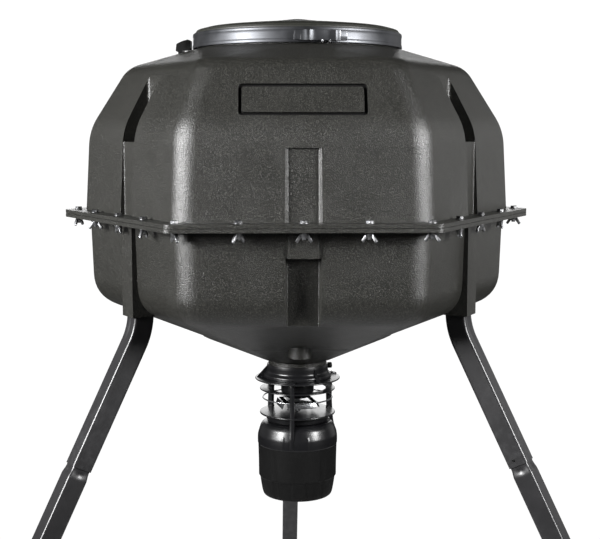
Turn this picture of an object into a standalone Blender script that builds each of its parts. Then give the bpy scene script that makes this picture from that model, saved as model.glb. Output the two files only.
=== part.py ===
"""Spin cast game feeder on a tripod: a two-part moulded hopper, three take-apart legs and a feeder unit.

Metres, +Z up. The origin is on the ground under the middle of the bounding box. Everything hangs from the
empty "feeder_axis", which stands on the hopper's vertical axis. Azimuths are in degrees about that axis,
counter-clockwise from +X; the front of the feeder faces -Y.
"""

import math

import bmesh
import bpy
from mathutils import Matrix, Vector

for old in list(bpy.data.objects):
    bpy.data.objects.remove(old, do_unlink=True)

# ---------------------------------------------------------------- driving dimensions
GAP = 0.0003                     # working gap between pieces that touch
FRONT = 270.0                    # azimuth of the front
LEG_AZIMUTHS = {"rear": 90.0, "left": 210.0, "right": 330.0}
PANEL_AZIMUTHS = (270.0, 30.0, 150.0)

WALL = 0.004                     # hopper wall
FLANGE_TOP = 1.2205              # top of the bolted flange
FLANGE_SPLIT = 1.2146            # plane between the two flanges
FLANGE_BOTTOM = 1.2087
FLANGE_RADIUS = 0.3771           # across a flange corner
FLANGE_CORNER = 0.012
CORNER = 0.040                   # rounding of the hopper's upright corners

NECK_RADIUS = 0.161              # filler neck, outside
NECK_TOP = 1.4905
RIM_RADIUS = 0.165               # rolled rim round the filler neck
OUTLET_RADIUS = 0.0478           # outlet neck under the hopper, outside
OUTLET_BOTTOM = 0.9560

TUBE = 0.03175                   # square leg tube, 1 1/4 inch
TUBE_WALL = 0.0015
TUBE_CORNER = 0.003
SWAGE = 0.0281                   # reduced end of a tube that plugs into the next
SWAGE_LENGTH = 0.045
LEG_RADIUS = 0.2812              # centre of the upright part of a leg
LEG_TOP = 1.190
LEG_SLOPE = math.radians(27.47)  # splay of the lower part
BEND_HEIGHT = 1.0473             # where the two centre lines of a leg cross
BEND_RADIUS = 0.106
JOINT_UPPER = 0.845              # lower end of the upper tube, on the centre line
JOINT_LOWER = 0.437
TUBE_END = 0.0185                # lower end of the lower tube
FOOT_RADIUS = 0.026              # round pad of a foot

SOCKET_WIDTH = 0.038
SOCKET_FACE = 0.3024             # outer face of a leg socket
SOCKET_MOUTH = 1.067
SOCKET_BORE = TUBE + 0.0008

NOTCH_WIDTH = 0.037              # recess in the shoulder above each leg
NOTCH_BACK = 0.2560
NOTCH_FLOOR = 1.3306
CHANNEL_FLOOR = 0.2958
CHANNEL_WIDTH = 0.0355           # shallow channel below that recess
PANEL_WIDTH = 0.048
PANEL_TOP = 1.3236
POCKET_BACK = 0.2680
POCKET_TOP = 1.1705
BLOCK_FACE = 0.3005

BOLT_CORNER_RADIUS = 0.356
BOLT_RADIUS = 0.0031
HEAD_FLATS = 0.0111
BOLT_END = 1.1985

RING_RADIUS = 0.1685             # outside of the clamp ring
LATCH_PIVOT_AZIMUTH = 288.8
LATCH_LINK_AZIMUTH = 273.7
LATCH_PIN_RADIUS = 0.1726        # distance of both latch pins from the hopper's axis
LATCH_LOW, LATCH_HIGH = 1.4825, 1.4975

FIN_AZIMUTHS = (260.0, 20.0, 140.0)
KNOB_AZIMUTH = 14.0
CUP_TOP = 0.8297
CUP_BOTTOM = 0.7425
BATTERY_BOTTOM = 0.7540
PANEL_UNDERSIDE = 0.8335         # control panel inside the feeder unit

# The tripod's box is centred on the origin: one foot lies behind the axis and two lie in front of it.
FOOT_CIRCLE = LEG_RADIUS + BEND_HEIGHT * math.tan(LEG_SLOPE)
AXIS_Y = -FOOT_CIRCLE / 4

AXIS = bpy.data.objects.new("feeder_axis", None)
AXIS.location = (0, AXIS_Y, 0)
bpy.context.scene.collection.objects.link(AXIS)


# ---------------------------------------------------------------- materials
def finish(name, colour, roughness, metallic=0.0):
    made = bpy.data.materials.new(name)
    made.use_nodes = True
    shader = made.node_tree.nodes["Principled BSDF"]
    shader.inputs["Base Color"].default_value = (*colour, 1)
    shader.inputs["Roughness"].default_value = roughness
    shader.inputs["Metallic"].default_value = metallic
    return made


HOPPER_PLASTIC = finish("hopper_plastic", (0.060, 0.062, 0.054), 0.45)
LID_PLASTIC = finish("lid_plastic", (0.070, 0.072, 0.058), 0.50)
GUNMETAL = finish("gunmetal", (0.33, 0.34, 0.36), 0.30, 0.9)
PAINTED_STEEL = finish("painted_steel", (0.070, 0.068, 0.072), 0.38, 0.3)
ZINC = finish("zinc", (0.68, 0.69, 0.70), 0.30, 0.9)
GLOSS_BLACK = finish("gloss_black", (0.018, 0.018, 0.021), 0.18)
MATTE_BLACK = finish("matte_black", (0.022, 0.022, 0.023), 0.55)
RUBBER = finish("rubber", (0.015, 0.015, 0.015), 0.80)
BATTERY_CASE = finish("battery_case", (0.10, 0.11, 0.13), 0.45)
BUTTON_GREY = finish("button_grey", (0.45, 0.46, 0.47), 0.50)
CLEAR_WINDOW = finish("clear_window", (0.45, 0.52, 0.46), 0.10)
BRASS = finish("brass", (0.60, 0.45, 0.18), 0.30, 1.0)


# ---------------------------------------------------------------- shape tools
def made_object(name, bm, material=None, cutter=False, place=None):
    """Closes a bmesh into an object under the feeder axis. A cutter is kept out of the model."""
    bmesh.ops.recalc_face_normals(bm, faces=bm.faces)
    mesh = bpy.data.meshes.new(name)
    bm.to_mesh(mesh)
    bm.free()
    obj = bpy.data.objects.new(name, mesh)
    bpy.context.scene.collection.objects.link(obj)
    obj.parent = AXIS
    if place is not None:
        obj.matrix_local = place
    if material is not None:
        mesh.materials.append(material)
        mesh.shade_smooth()
        mesh.set_sharp_from_angle(angle=math.radians(35))
    if cutter:
        obj.hide_render = True
        obj.display_type = "WIRE"
    return obj


def combine(obj, other, operation):
    step = obj.modifiers.new(operation.lower() + "_" + other.name, "BOOLEAN")
    step.operation = operation
    step.solver = "EXACT"
    step.object = other
    other.hide_render = True
    other.display_type = "WIRE"


def cut(obj, *cutters):
    for cutter in cutters:
        combine(obj, cutter, "DIFFERENCE")


def join(obj, *others):
    for other in others:
        combine(obj, other, "UNION")


def skin(loops, ring=False):
    """Faces between loops with the same number of points. The ends are capped, or joined if ring is set."""
    bm = bmesh.new()
    rows = [[bm.verts.new(point) for point in loop] for loop in loops]
    count = len(rows[0])
    pairs = list(zip(rows, rows[1:]))
    if ring:
        pairs.append((rows[-1], rows[0]))
    for low, high in pairs:
        for i in range(count):
            j = (i + 1) % count
            bm.faces.new((low[i], low[j], high[j], high[i]))
    if not ring:
        bm.faces.new(rows[0])
        bm.faces.new(rows[-1])
    return bm


def turned(profile, steps, phase=0.0):
    """A solid of revolution. The profile is a closed outline of (radius, height); radius 0 is on the axis."""
    bm = bmesh.new()
    rows = []
    for radius, height in profile:
        if radius == 0:
            rows.append([bm.verts.new((0, 0, height))])
            continue
        row = []
        for i in range(steps):
            angle = 2 * math.pi * (i + phase) / steps
            row.append(bm.verts.new((radius * math.cos(angle), radius * math.sin(angle), height)))
        rows.append(row)
    for low, high in zip(rows, rows[1:] + rows[:1]):
        for i in range(steps):
            j = (i + 1) % steps
            if len(low) > 1 and len(high) > 1:
                bm.faces.new((low[i], low[j], high[j], high[i]))
            elif len(low) > 1:
                bm.faces.new((low[i], low[j], high[0]))
            elif len(high) > 1:
                bm.faces.new((low[0], high[j], high[i]))
    return bm


def extruded(outline, low, high):
    """An outline in X and Y carried from one height to another."""
    return skin([[Vector((x, y, z)) for x, y in outline] for z in (low, high)])


def circle(radius, steps, centre=(0.0, 0.0), phase=0.0):
    turns = [2 * math.pi * (i + phase) / steps for i in range(steps)]
    return [(centre[0] + radius * math.cos(a), centre[1] + radius * math.sin(a)) for a in turns]


def turn_to(azimuth):
    """Turns a shape drawn along +X to an azimuth."""
    return Matrix.Rotation(math.radians(azimuth), 4, "Z")


def polar(radius, azimuth, height=0.0):
    angle = math.radians(azimuth)
    return Vector((radius * math.cos(angle), radius * math.sin(angle), height))


def block(name, radii, width, heights, azimuth, outer_width=None):
    """A cutter or boss: radial span, tangential width and height span. It may flare outwards."""
    outer_width = outer_width or width
    corners = [
        (radii[0], -width / 2), (radii[1], -outer_width / 2),
        (radii[1], outer_width / 2), (radii[0], width / 2),
    ]
    return made_object(name, extruded(corners, *heights), cutter=True, place=turn_to(azimuth))


def upright_plate(name, outline, thickness, azimuth):
    """A plate standing in the radial plane: its outline is (radius, height)."""
    loops = [[Vector((r, side * thickness / 2, z)) for r, z in outline] for side in (-1, 1)]
    return made_object(name, skin(loops), cutter=True, place=turn_to(azimuth))


# ---------------------------------------------------------------- hopper
def hexagon(radius, rounding, height, steps=3):
    """A hexagon with rounded corners. Radius is across a corner, and rounding equal to it gives a circle."""
    centre = radius - rounding
    spread = 60 if centre > 0 else 60 * steps / (steps + 1)
    points = []
    for corner in range(6):
        middle = math.radians(60 * corner)
        for i in range(steps + 1):
            angle = middle + math.radians(spread * (i / steps - 0.5))
            points.append(Vector((
                centre * math.cos(middle) + rounding * math.cos(angle),
                centre * math.sin(middle) + rounding * math.sin(angle),
                height,
            )))
    return points


def inset_profile(profile, distance):
    """The same (radius, height, rounding) stations moved inwards, square to the wall."""
    moved = []
    for i, (radius, height, rounding) in enumerate(profile):
        before = profile[max(i - 1, 0)]
        after = profile[min(i + 1, len(profile) - 1)]
        sides = []
        for start, end in ((before, (radius, height)), ((radius, height), after)):
            run = Vector((end[0] - start[0], end[1] - start[1]))
            if run.length > 0:
                sides.append(Vector((-run.y, run.x)).normalized())
        normal = sum(sides, Vector((0, 0)))
        normal = normal / normal.length
        reach = distance / max(normal.dot(sides[0]), 0.5)
        new_radius = radius + normal.x * reach
        centre = min(radius - rounding, new_radius - 0.004)
        moved.append((new_radius, height + normal.y * reach, new_radius - centre))
    return moved


def lofted(name, profile, cutter=True):
    return made_object(name, skin([hexagon(r, c, z) for r, z, c in profile]), cutter=cutter)


# Stations up the outside of the upper shell: radius across a corner, height, corner rounding.
UPPER_WALL = [
    (0.3429, FLANGE_TOP, CORNER), (0.3359, 1.3347, CORNER), (0.3345, 1.3444, CORNER),
    (0.3309, 1.3542, CORNER), (0.3257, 1.3639, CORNER), (0.2790, 1.4340, CORNER),
    (0.2715, 1.4430, 0.042), (0.2572, 1.4507, 0.050), (0.1760, 1.4725, 0.176),
]
# Stations down the outside of the lower shell.
LOWER_WALL = [
    (0.3362, FLANGE_BOTTOM, CORNER), (0.3332, 1.1200, CORNER), (0.3303, 1.1001, CORNER),
    (0.3260, 1.0902, CORNER), (0.3188, 1.0802, CORNER), (0.3060, 1.0700, CORNER),
    (0.1570, 1.0122, 0.014), (0.1450, 1.0056, 0.014), (0.0600, 0.9750, 0.060),
]


def shoulder_recesses(grow):
    """Cutters for the recess above each leg and the shallow panels between them, all grown by a distance."""
    cutters = []
    for place, azimuth in LEG_AZIMUTHS.items():
        tag = f"{place}_{'inner' if grow else 'outer'}"
        cutters.append(block(
            "notch_" + tag, (NOTCH_BACK - grow, 0.40), NOTCH_WIDTH + 2 * grow,
            (NOTCH_FLOOR - grow, 1.50), azimuth))
        cutters.append(block(
            "channel_" + tag, (CHANNEL_FLOOR - grow, 0.39), CHANNEL_WIDTH + 2 * grow,
            (FLANGE_TOP if not grow else 1.19, NOTCH_FLOOR + 0.002), azimuth))
    for azimuth in PANEL_AZIMUTHS:
        tag = f"{azimuth:.0f}_{'inner' if grow else 'outer'}"
        cutters.append(block(
            "panel_" + tag, (0.2930 - grow, 0.3130), PANEL_WIDTH - 0.010 + 2 * grow,
            (FLANGE_TOP if not grow else 1.19, PANEL_TOP + grow), azimuth, PANEL_WIDTH + 0.006 + 2 * grow))
    return cutters


def corner_bolt_holes(name, low, high):
    """One cutter for each corner bolt's hole through a flange."""
    holes = []
    for corner in range(6):
        centre = polar(BOLT_CORNER_RADIUS, 60 * corner)
        bm = extruded(circle(BOLT_RADIUS + 0.0004, 12, centre.xy, 0.37), low, high)
        holes.append(made_object(f"{name}_hole_{corner}", bm, cutter=True))
    return holes


def hopper_upper():
    flange = [(FLANGE_RADIUS, FLANGE_SPLIT + GAP, FLANGE_CORNER), (FLANGE_RADIUS, FLANGE_TOP, FLANGE_CORNER)]
    neck = [
        (NECK_RADIUS, 1.4755, NECK_RADIUS), (NECK_RADIUS, 1.4850, NECK_RADIUS),
        (RIM_RADIUS, 1.4865, RIM_RADIUS), (RIM_RADIUS, NECK_TOP, RIM_RADIUS),
    ]
    body = lofted("hopper_upper", flange + UPPER_WALL + neck, cutter=False)
    body.data.materials.append(HOPPER_PLASTIC)
    inside = inset_profile(UPPER_WALL, WALL)
    bore = NECK_RADIUS - WALL
    hollow = [(inside[0][0], 1.20, inside[0][2])] + inside + [(bore, 1.4755, bore), (bore, 1.52, bore)]
    cavity = lofted("hopper_upper_cavity", hollow)
    cut(cavity, *shoulder_recesses(WALL))
    cut(body, *shoulder_recesses(0.0))
    cut(body, cavity, *corner_bolt_holes("upper_flange", 1.20, 1.24))
    return body


def hopper_lower():
    flange = [
        (FLANGE_RADIUS, FLANGE_SPLIT - GAP, FLANGE_CORNER), (FLANGE_RADIUS, FLANGE_BOTTOM, FLANGE_CORNER),
    ]
    neck = [(OUTLET_RADIUS, 0.9712, OUTLET_RADIUS), (OUTLET_RADIUS, OUTLET_BOTTOM, OUTLET_RADIUS)]
    body = lofted("hopper_lower", flange + LOWER_WALL + neck, cutter=False)
    body.data.materials.append(HOPPER_PLASTIC)

    inside = inset_profile(LOWER_WALL, -WALL)
    bore = OUTLET_RADIUS - WALL
    hollow = [(inside[0][0], 1.23, inside[0][2])] + inside + [(bore, 0.9745, bore), (bore, 0.94, bore)]
    cavity = lofted("hopper_lower_cavity", hollow)

    for place, azimuth in LEG_AZIMUTHS.items():
        cut(cavity, block(
            f"socket_wall_{place}", (LEG_RADIUS - SOCKET_BORE / 2 - WALL, 0.34), SOCKET_BORE + 2 * WALL,
            (1.0, LEG_TOP + 0.002 + WALL), azimuth))
        join(body, block(
            f"socket_{place}", (0.2640, SOCKET_FACE), SOCKET_WIDTH,
            (SOCKET_MOUTH, FLANGE_BOTTOM + 0.002), azimuth))
        cut(body, block(
            f"socket_bore_{place}", (LEG_RADIUS - SOCKET_BORE / 2, LEG_RADIUS + SOCKET_BORE / 2), SOCKET_BORE,
            (1.02, LEG_TOP + 0.002), azimuth))
    for azimuth in PANEL_AZIMUTHS:
        cut(cavity, block(
            f"pocket_wall_{azimuth:.0f}", (POCKET_BACK - WALL, 0.34), 0.037 + 2 * WALL,
            (1.0, POCKET_TOP + WALL), azimuth, 0.060 + 2 * WALL))
        join(body, block(
            f"raised_block_{azimuth:.0f}", (0.2900, BLOCK_FACE), PANEL_WIDTH,
            (1.1600, FLANGE_BOTTOM + 0.002), azimuth))
        cut(body, block(
            f"pocket_{azimuth:.0f}", (POCKET_BACK, 0.3100), 0.037, (1.03, POCKET_TOP), azimuth, 0.051))
    boss = circle(0.0176, 20, polar(0.135, FRONT).xy)
    join(body, made_object("drain_boss", extruded(boss, 0.9993, 1.0180), cutter=True))
    cut(body, cavity, *corner_bolt_holes("lower_flange", 1.19, 1.23))
    return body


def lid_tether_lug():
    """The ribbed block that stands on the shoulder beside the clamp ring."""
    azimuth = 176.0
    outline = [
        (0.1715, 1.4760), (0.1715, 1.4915), (0.1760, 1.4930), (0.1850, 1.4905), (0.1945, 1.4860),
        (0.1955, 1.4745), (0.1915, 1.4735), (0.1915, 1.4690), (0.1855, 1.4706), (0.1835, 1.4760),
    ]
    loops = [[Vector((r, side * 0.011, z)) for r, z in outline] for side in (-1, 1)]
    return made_object("lid_tether_lug", skin(loops), MATTE_BLACK, place=turn_to(azimuth))


# ---------------------------------------------------------------- lid, clamp ring and latch
def lid():
    profile = [
        (0, 1.5251), (0.057, 1.5184), (0.148, 1.5090), (0.1624, 1.5040), (0.1624, 1.5022),
        (0.1642, 1.5014), (0.1642, 1.4937), (0.1575, 1.4937), (0.1575, 1.5010), (0.145, 1.5055), (0, 1.5215),
    ]
    return made_object("lid", turned(profile, 36), LID_PLASTIC)


def lid_gasket():
    profile = [(0.1580, 1.4934), (0.1640, 1.4934), (0.1640, 1.4908), (0.1580, 1.4908)]
    return made_object("lid_gasket", turned(profile, 36), RUBBER)


def clamp_ring():
    profile = [
        (0.1649, 1.4997), (0.1672, 1.4997), (RING_RADIUS, 1.4965), (RING_RADIUS, 1.4790), (0.1674, 1.4765),
        (0.1662, 1.4770), (0.1667, 1.4795), (0.1667, 1.4960), (0.1649, 1.4982),
    ]
    return made_object("clamp_ring", turned(profile, 36), GUNMETAL)


def curved_strip(radii, azimuths, heights, steps):
    """A strip that follows the clamp ring."""
    inner, outer = radii
    turns = [azimuths[0] + (azimuths[1] - azimuths[0]) * i / steps for i in range(steps + 1)]
    outline = [polar(outer, a).xy for a in turns] + [polar(inner, a).xy for a in reversed(turns)]
    return extruded(outline, *heights)


def latch():
    """The over-centre latch: bracket on the ring, lever, link, and the two pins they turn on."""
    pivot = polar(LATCH_PIN_RADIUS, LATCH_PIVOT_AZIMUTH)
    joint = polar(LATCH_PIN_RADIUS, LATCH_LINK_AZIMUTH)
    ear_low = LATCH_HIGH - 0.003

    strip = curved_strip((0.1716, 0.1731), (266.4, 289.0), (LATCH_LOW, LATCH_HIGH), 8)
    lever = made_object("latch_lever", strip, GUNMETAL)
    lever.location = pivot
    lever.data.transform(Matrix.Translation(-pivot))
    for name, centre, top in (("pivot", pivot, LATCH_HIGH), ("link", joint, ear_low - GAP)):
        knuckle = extruded(circle(0.0036, 16, centre.xy), LATCH_LOW, top)
        join(lever, made_object(f"lever_knuckle_{name}", knuckle, cutter=True))
        bore = extruded(circle(0.0018, 12, centre.xy), 1.47, 1.51)
        cut(lever, made_object(f"lever_bore_{name}", bore, cutter=True))
    room = extruded(circle(0.0041, 16, joint.xy), ear_low - 0.0002, 1.51)
    cut(lever, made_object("lever_room_for_ear", room, cutter=True))

    plate = curved_strip((0.1694, 0.1704), (266.8, 273.7), (LATCH_LOW + 0.001, LATCH_HIGH), 3)
    link = made_object("latch_link", plate, GUNMETAL)
    link.location = joint
    link.data.transform(Matrix.Translation(-joint))
    ear = extruded(circle(0.0034, 16, joint.xy), ear_low, LATCH_HIGH)
    join(link, made_object("link_ear", ear, cutter=True))
    clear = extruded(circle(0.0040, 16, joint.xy), LATCH_LOW - 0.01, ear_low - 0.0002)
    cut(link, made_object("link_room_for_knuckle", clear, cutter=True))
    eye = extruded(circle(0.0018, 12, joint.xy), 1.47, 1.51)
    cut(link, made_object("link_bore", eye, cutter=True))

    for name, centre in (("latch_pivot_pin", pivot), ("latch_link_pin", joint)):
        pin = extruded(circle(0.0015, 12, centre.xy), LATCH_LOW - 0.0012, LATCH_HIGH + 0.0012)
        made_object(name, pin, ZINC)

    seat = curved_strip((RING_RADIUS + GAP, 0.1712), (290.4, 294.0), (LATCH_LOW, LATCH_HIGH), 2)
    made_object("latch_bracket", seat, GUNMETAL)


# ---------------------------------------------------------------- legs
def leg_stations(start, end):
    """Centre line of the upper tube: (radius, height, tilt) from its top down to the first joint."""
    tangent = BEND_RADIUS * math.tan(LEG_SLOPE / 2)
    stations = [(LEG_RADIUS, start, 0.0)]
    steps = 6
    for i in range(steps + 1):
        tilt = LEG_SLOPE * i / steps
        stations.append((
            LEG_RADIUS + BEND_RADIUS * (1 - math.cos(tilt)),
            BEND_HEIGHT + tangent - BEND_RADIUS * math.sin(tilt),
            tilt,
        ))
    stations.append((*splayed(end), LEG_SLOPE))
    return stations


def splayed(height):
    """The centre line of the splayed part, at a height."""
    return LEG_RADIUS + (BEND_HEIGHT - height) * math.tan(LEG_SLOPE), height


def square_loop(station, size, corner):
    """A square section with clipped corners, square to the centre line. It is drawn along +X."""
    radius, height, tilt = station
    half = size / 2
    points = []
    for u, v in ((1, 1), (-1, 1), (-1, -1), (1, -1)):
        first, second = (corner, 0) if u * v < 0 else (0, corner)
        for du, dv in ((first, second), (second, first)):
            across = u * (half - du)
            out = v * (half - dv)
            points.append(Vector((
                radius + out * math.cos(tilt), across, height + out * math.sin(tilt))))
    return points


def tube(name, stations, sizes, azimuth, material):
    """A hollow square tube through stations, with an outside size for each."""
    outside = [square_loop(s, size, TUBE_CORNER) for s, size in zip(stations, sizes)]
    inside = [square_loop(s, size - 2 * TUBE_WALL, TUBE_CORNER - 0.0009) for s, size in zip(stations, sizes)]
    return made_object(name, skin(outside + inside[::-1], ring=True), material, place=turn_to(azimuth))


def along(height, distance):
    """A station of the splayed part, a distance down its centre line from a height."""
    return (*splayed(height - distance * math.cos(LEG_SLOPE)), LEG_SLOPE)


def round_hole(obj, name, station, size, side, azimuth):
    """A hole through one face of a leg tube: side is "in" for the face towards the axis, else the flank."""
    radius, height, tilt = station
    centre = Vector((radius, 0, height))
    axis = Vector((-math.cos(tilt), 0, -math.sin(tilt))) if side == "in" else Vector((0, -1, 0))
    turn = axis.to_track_quat("Z", "Y").to_matrix().to_4x4()
    bm = extruded(circle(size / 2, 12), TUBE / 2 - 0.006, TUBE / 2 + 0.006)
    cutter = made_object(name, bm, cutter=True, place=turn_to(azimuth) @ Matrix.Translation(centre) @ turn)
    cut(obj, cutter)


def legs():
    for place, azimuth in LEG_AZIMUTHS.items():
        stations = leg_stations(LEG_TOP, JOINT_UPPER)
        upper = tube(f"leg_upper_{place}", stations, [TUBE] * len(stations), azimuth, PAINTED_STEEL)
        round_hole(upper, f"screw_hole_{place}", along(JOINT_UPPER, -0.011), 0.004, "flank", azimuth)

        for part, top, bottom in (("middle", JOINT_UPPER, JOINT_LOWER), ("lower", JOINT_LOWER, TUBE_END)):
            length = (top - bottom) / math.cos(LEG_SLOPE)
            spots = [-SWAGE_LENGTH, -0.0005, 0.016, length]
            sizes = [SWAGE, SWAGE, TUBE, TUBE]
            piece = tube(
                f"leg_{part}_{place}", [along(top, s) for s in spots], sizes, azimuth, PAINTED_STEEL)
            if part == "middle":
                round_hole(piece, f"peg_hole_{place}", along(bottom, -0.020), 0.009, "in", azimuth)
        foot_cap(place, azimuth)


def foot_cap(place, azimuth):
    """A moulded foot: a round pad under a sleeve that takes the end of the lower tube."""
    pad = made_object(f"foot_cap_{place}", turned(
        [(0, 0), (FOOT_RADIUS - 0.002, 0), (FOOT_RADIUS, 0.002), (FOOT_RADIUS - 0.001, 0.008), (0, 0.010)], 24),
        RUBBER, place=Matrix.Translation(polar(FOOT_CIRCLE, azimuth)))
    outer = TUBE + 0.006
    sleeve = [square_loop(along(0.045, 0), outer, 0.005), square_loop(along(0.0155, 0), outer, 0.005)]
    join(pad, made_object(f"foot_sleeve_{place}", skin(sleeve), cutter=True, place=turn_to(azimuth)))
    bore = TUBE + 2 * GAP
    hole = [square_loop(along(0.060, 0), bore, 0.0028), square_loop(along(TUBE_END - GAP, 0), bore, 0.0028)]
    cut(pad, made_object(f"foot_bore_{place}", skin(hole), cutter=True, place=turn_to(azimuth)))


# ---------------------------------------------------------------- flange bolts
def corner_bolts():
    """A hexagon bolt and a wing nut at each corner of the flange."""
    wing = [
        (0.0040, 1.2080), (0.0040, 1.2005), (0.0075, 1.1980), (0.0120, 1.1925),
        (0.0145, 1.1950), (0.0135, 1.2010), (0.0085, 1.2070),
    ]
    for corner in range(6):
        place = Matrix.Translation(polar(BOLT_CORNER_RADIUS, 60 * corner))
        head = HEAD_FLATS / 2 / math.cos(math.pi / 6)
        bolt = made_object(
            f"flange_bolt_{corner + 1}",
            extruded(circle(head, 6), FLANGE_TOP + GAP, FLANGE_TOP + 0.0045),
            ZINC, place=place)
        shank = extruded(circle(BOLT_RADIUS, 12), BOLT_END, FLANGE_TOP + 0.002)
        join(bolt, made_object(f"bolt_shank_{corner + 1}", shank, cutter=True, place=place))

        nut = made_object(
            f"wing_nut_{corner + 1}",
            extruded(circle(0.0056, 12), 1.2003, FLANGE_BOTTOM - GAP), ZINC, place=place)
        for side in (0, 180):
            loops = [[Vector((r, s * 0.0009, z)) for r, z in wing] for s in (-1, 1)]
            turn = Matrix.Rotation(math.radians(60 * corner + 90 + side), 4, "Z")
            join(nut, made_object(
                f"wing_{corner + 1}_{side}", skin(loops), cutter=True, place=place @ turn))
        thread = extruded(circle(BOLT_RADIUS + GAP, 12), 1.19, 1.22)
        cut(nut, made_object(f"nut_thread_{corner + 1}", thread, cutter=True, place=place))


# ---------------------------------------------------------------- feeder unit
def collar_ring():
    profile = [
        (0.0482, 0.9650), (0.0507, 0.9650), (0.0507, 0.9510), (0.0555, 0.9470), (0.0555, 0.9420),
        (0.0300, 0.9420), (0.0300, 0.9460), (0.0482, 0.9460),
    ]
    return made_object("collar_ring", turned(profile, 32), GLOSS_BLACK)


def collar_lock_knob():
    """A thumb screw that nips the collar on the outlet neck. It is turned along +X and set on its own axis."""
    profile = [
        (0, 0), (0.0026, 0), (0.0026, 0.0016), (0.0046, 0.0016), (0.0046, 0.0076), (0.0034, 0.0088),
        (0, 0.0088),
    ]
    stand = Matrix.Rotation(math.radians(90), 4, "Y")
    place = turn_to(KNOB_AZIMUTH) @ Matrix.Translation((0.0510, 0, 0.9575)) @ stand
    return made_object("collar_lock_knob", turned(profile, 12), MATTE_BLACK, place=place)


def drop_funnel():
    profile = [
        (0.0470, 0.9500), (0.0470, 0.9464), (0.0296, 0.9464), (0.0278, 0.9440), (0.0278, 0.9184),
        (0.0195, 0.9075), (0.0175, 0.9075), (0.0258, 0.9190), (0.0258, 0.9450), (0.0440, 0.9500),
    ]
    return made_object("drop_funnel", turned(profile, 32), GLOSS_BLACK)


def guard_cage():
    """Three guard discs on three upright fins, whose tails run down over the housing dome."""
    upper = [(0.0283, 0.9417), (0.0700, 0.9417), (0.0705, 0.9407), (0.0700, 0.9395), (0.0283, 0.9395)]
    cage = made_object("guard_cage", turned(upper, 32), GLOSS_BLACK)
    fin = [
        (0.0430, 0.9405), (0.0620, 0.9405), (0.0625, 0.8640), (0.0655, 0.8540), (0.0672, 0.8480),
        (0.0667, 0.8480), (0.0652, 0.8516), (0.0634, 0.8568), (0.0618, 0.8624), (0.0567, 0.8676),
        (0.0515, 0.8690), (0.0515, 0.8825), (0.0430, 0.8825),
    ]
    for azimuth in FIN_AZIMUTHS:
        join(cage, upright_plate(f"fin_{azimuth:.0f}", fin, 0.006, azimuth))
    second = [(0.0500, 0.9237), (0.0625, 0.9237), (0.0625, 0.9217), (0.0500, 0.9217)]
    lower = [(0.0045, 0.8842), (0.0627, 0.8836), (0.0627, 0.8808), (0.0045, 0.8808)]
    for name, profile in (("second_disc", second), ("lower_disc", lower)):
        join(cage, made_object(name, turned(profile, 32, 0.37), cutter=True))
    cut(cage, made_object("hoop_path", hoop(0.0017, 6), cutter=True))
    return cage


def hoop(section, sides):
    ring = [(0.0575 + x, 0.9074 + z) for x, z in circle(section, sides, phase=0.5)]
    return turned(ring, 28, 0.5)


def guard_hoop():
    return made_object("guard_hoop", hoop(0.0011, 6), ZINC)


def guard_screws():
    profile = [(0, 0.9455), (0.0022, 0.9450), (0.0038, 0.9435), (0.0038, 0.9420), (0, 0.9420)]
    for number, azimuth in enumerate(FIN_AZIMUTHS, 1):
        made_object(
            f"guard_screw_{number}", turned(profile, 12), MATTE_BLACK,
            place=Matrix.Translation(polar(0.0615, azimuth)))


def spinner():
    """A pressed plate with four edges bent down, and the hub that holds it on the motor shaft."""
    radius, edge, drop, sheet = 0.0385, 0.0290, 0.0085, 0.0012
    outline = circle(radius, 40)
    outline = [(max(min(x, edge), -edge), max(min(y, edge), -edge)) for x, y in outline]
    plate = made_object(
        "spinner_plate", extruded(outline, 0.9010, 0.9010 + sheet), ZINC, place=turn_to(12))
    reach = math.sqrt(radius ** 2 - edge ** 2)
    for azimuth in (0, 90, 180, 270):
        lip = block(
            f"spinner_lip_{azimuth}", (edge - sheet, edge), 2 * reach, (0.9010 - drop, 0.9015), azimuth + 12)
        join(plate, lip)
    cut(plate, made_object("spinner_eye", extruded(circle(0.0024, 12), 0.89, 0.91), cutter=True))
    hub = [
        (0.0021, 0.8880), (0.0060, 0.8880), (0.0060, 0.8975), (0.0100, 0.8975), (0.0100, 0.9007),
        (0.0021, 0.9007),
    ]
    made_object("spinner_hub", turned(hub, 16), MATTE_BLACK)
    nut = [(0.0021, 0.9025), (0.0045, 0.9025), (0.0045, 0.9050), (0.0021, 0.9050)]
    made_object("spinner_nut", turned(nut, 6), ZINC)


def motor():
    profile = [
        (0, 0.8425), (0.0175, 0.8425), (0.0175, 0.8770), (0.0060, 0.8775), (0.0060, 0.8800),
        (0.0018, 0.8805), (0.0018, 0.9060), (0, 0.9060),
    ]
    made_object("motor", turned(profile, 20), ZINC)
    shelf = [(0.0180, 0.8750), (0.0470, 0.8750), (0.0470, 0.8725), (0.0180, 0.8725)]
    made_object("motor_bracket", turned(shelf, 24), MATTE_BLACK)


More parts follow.
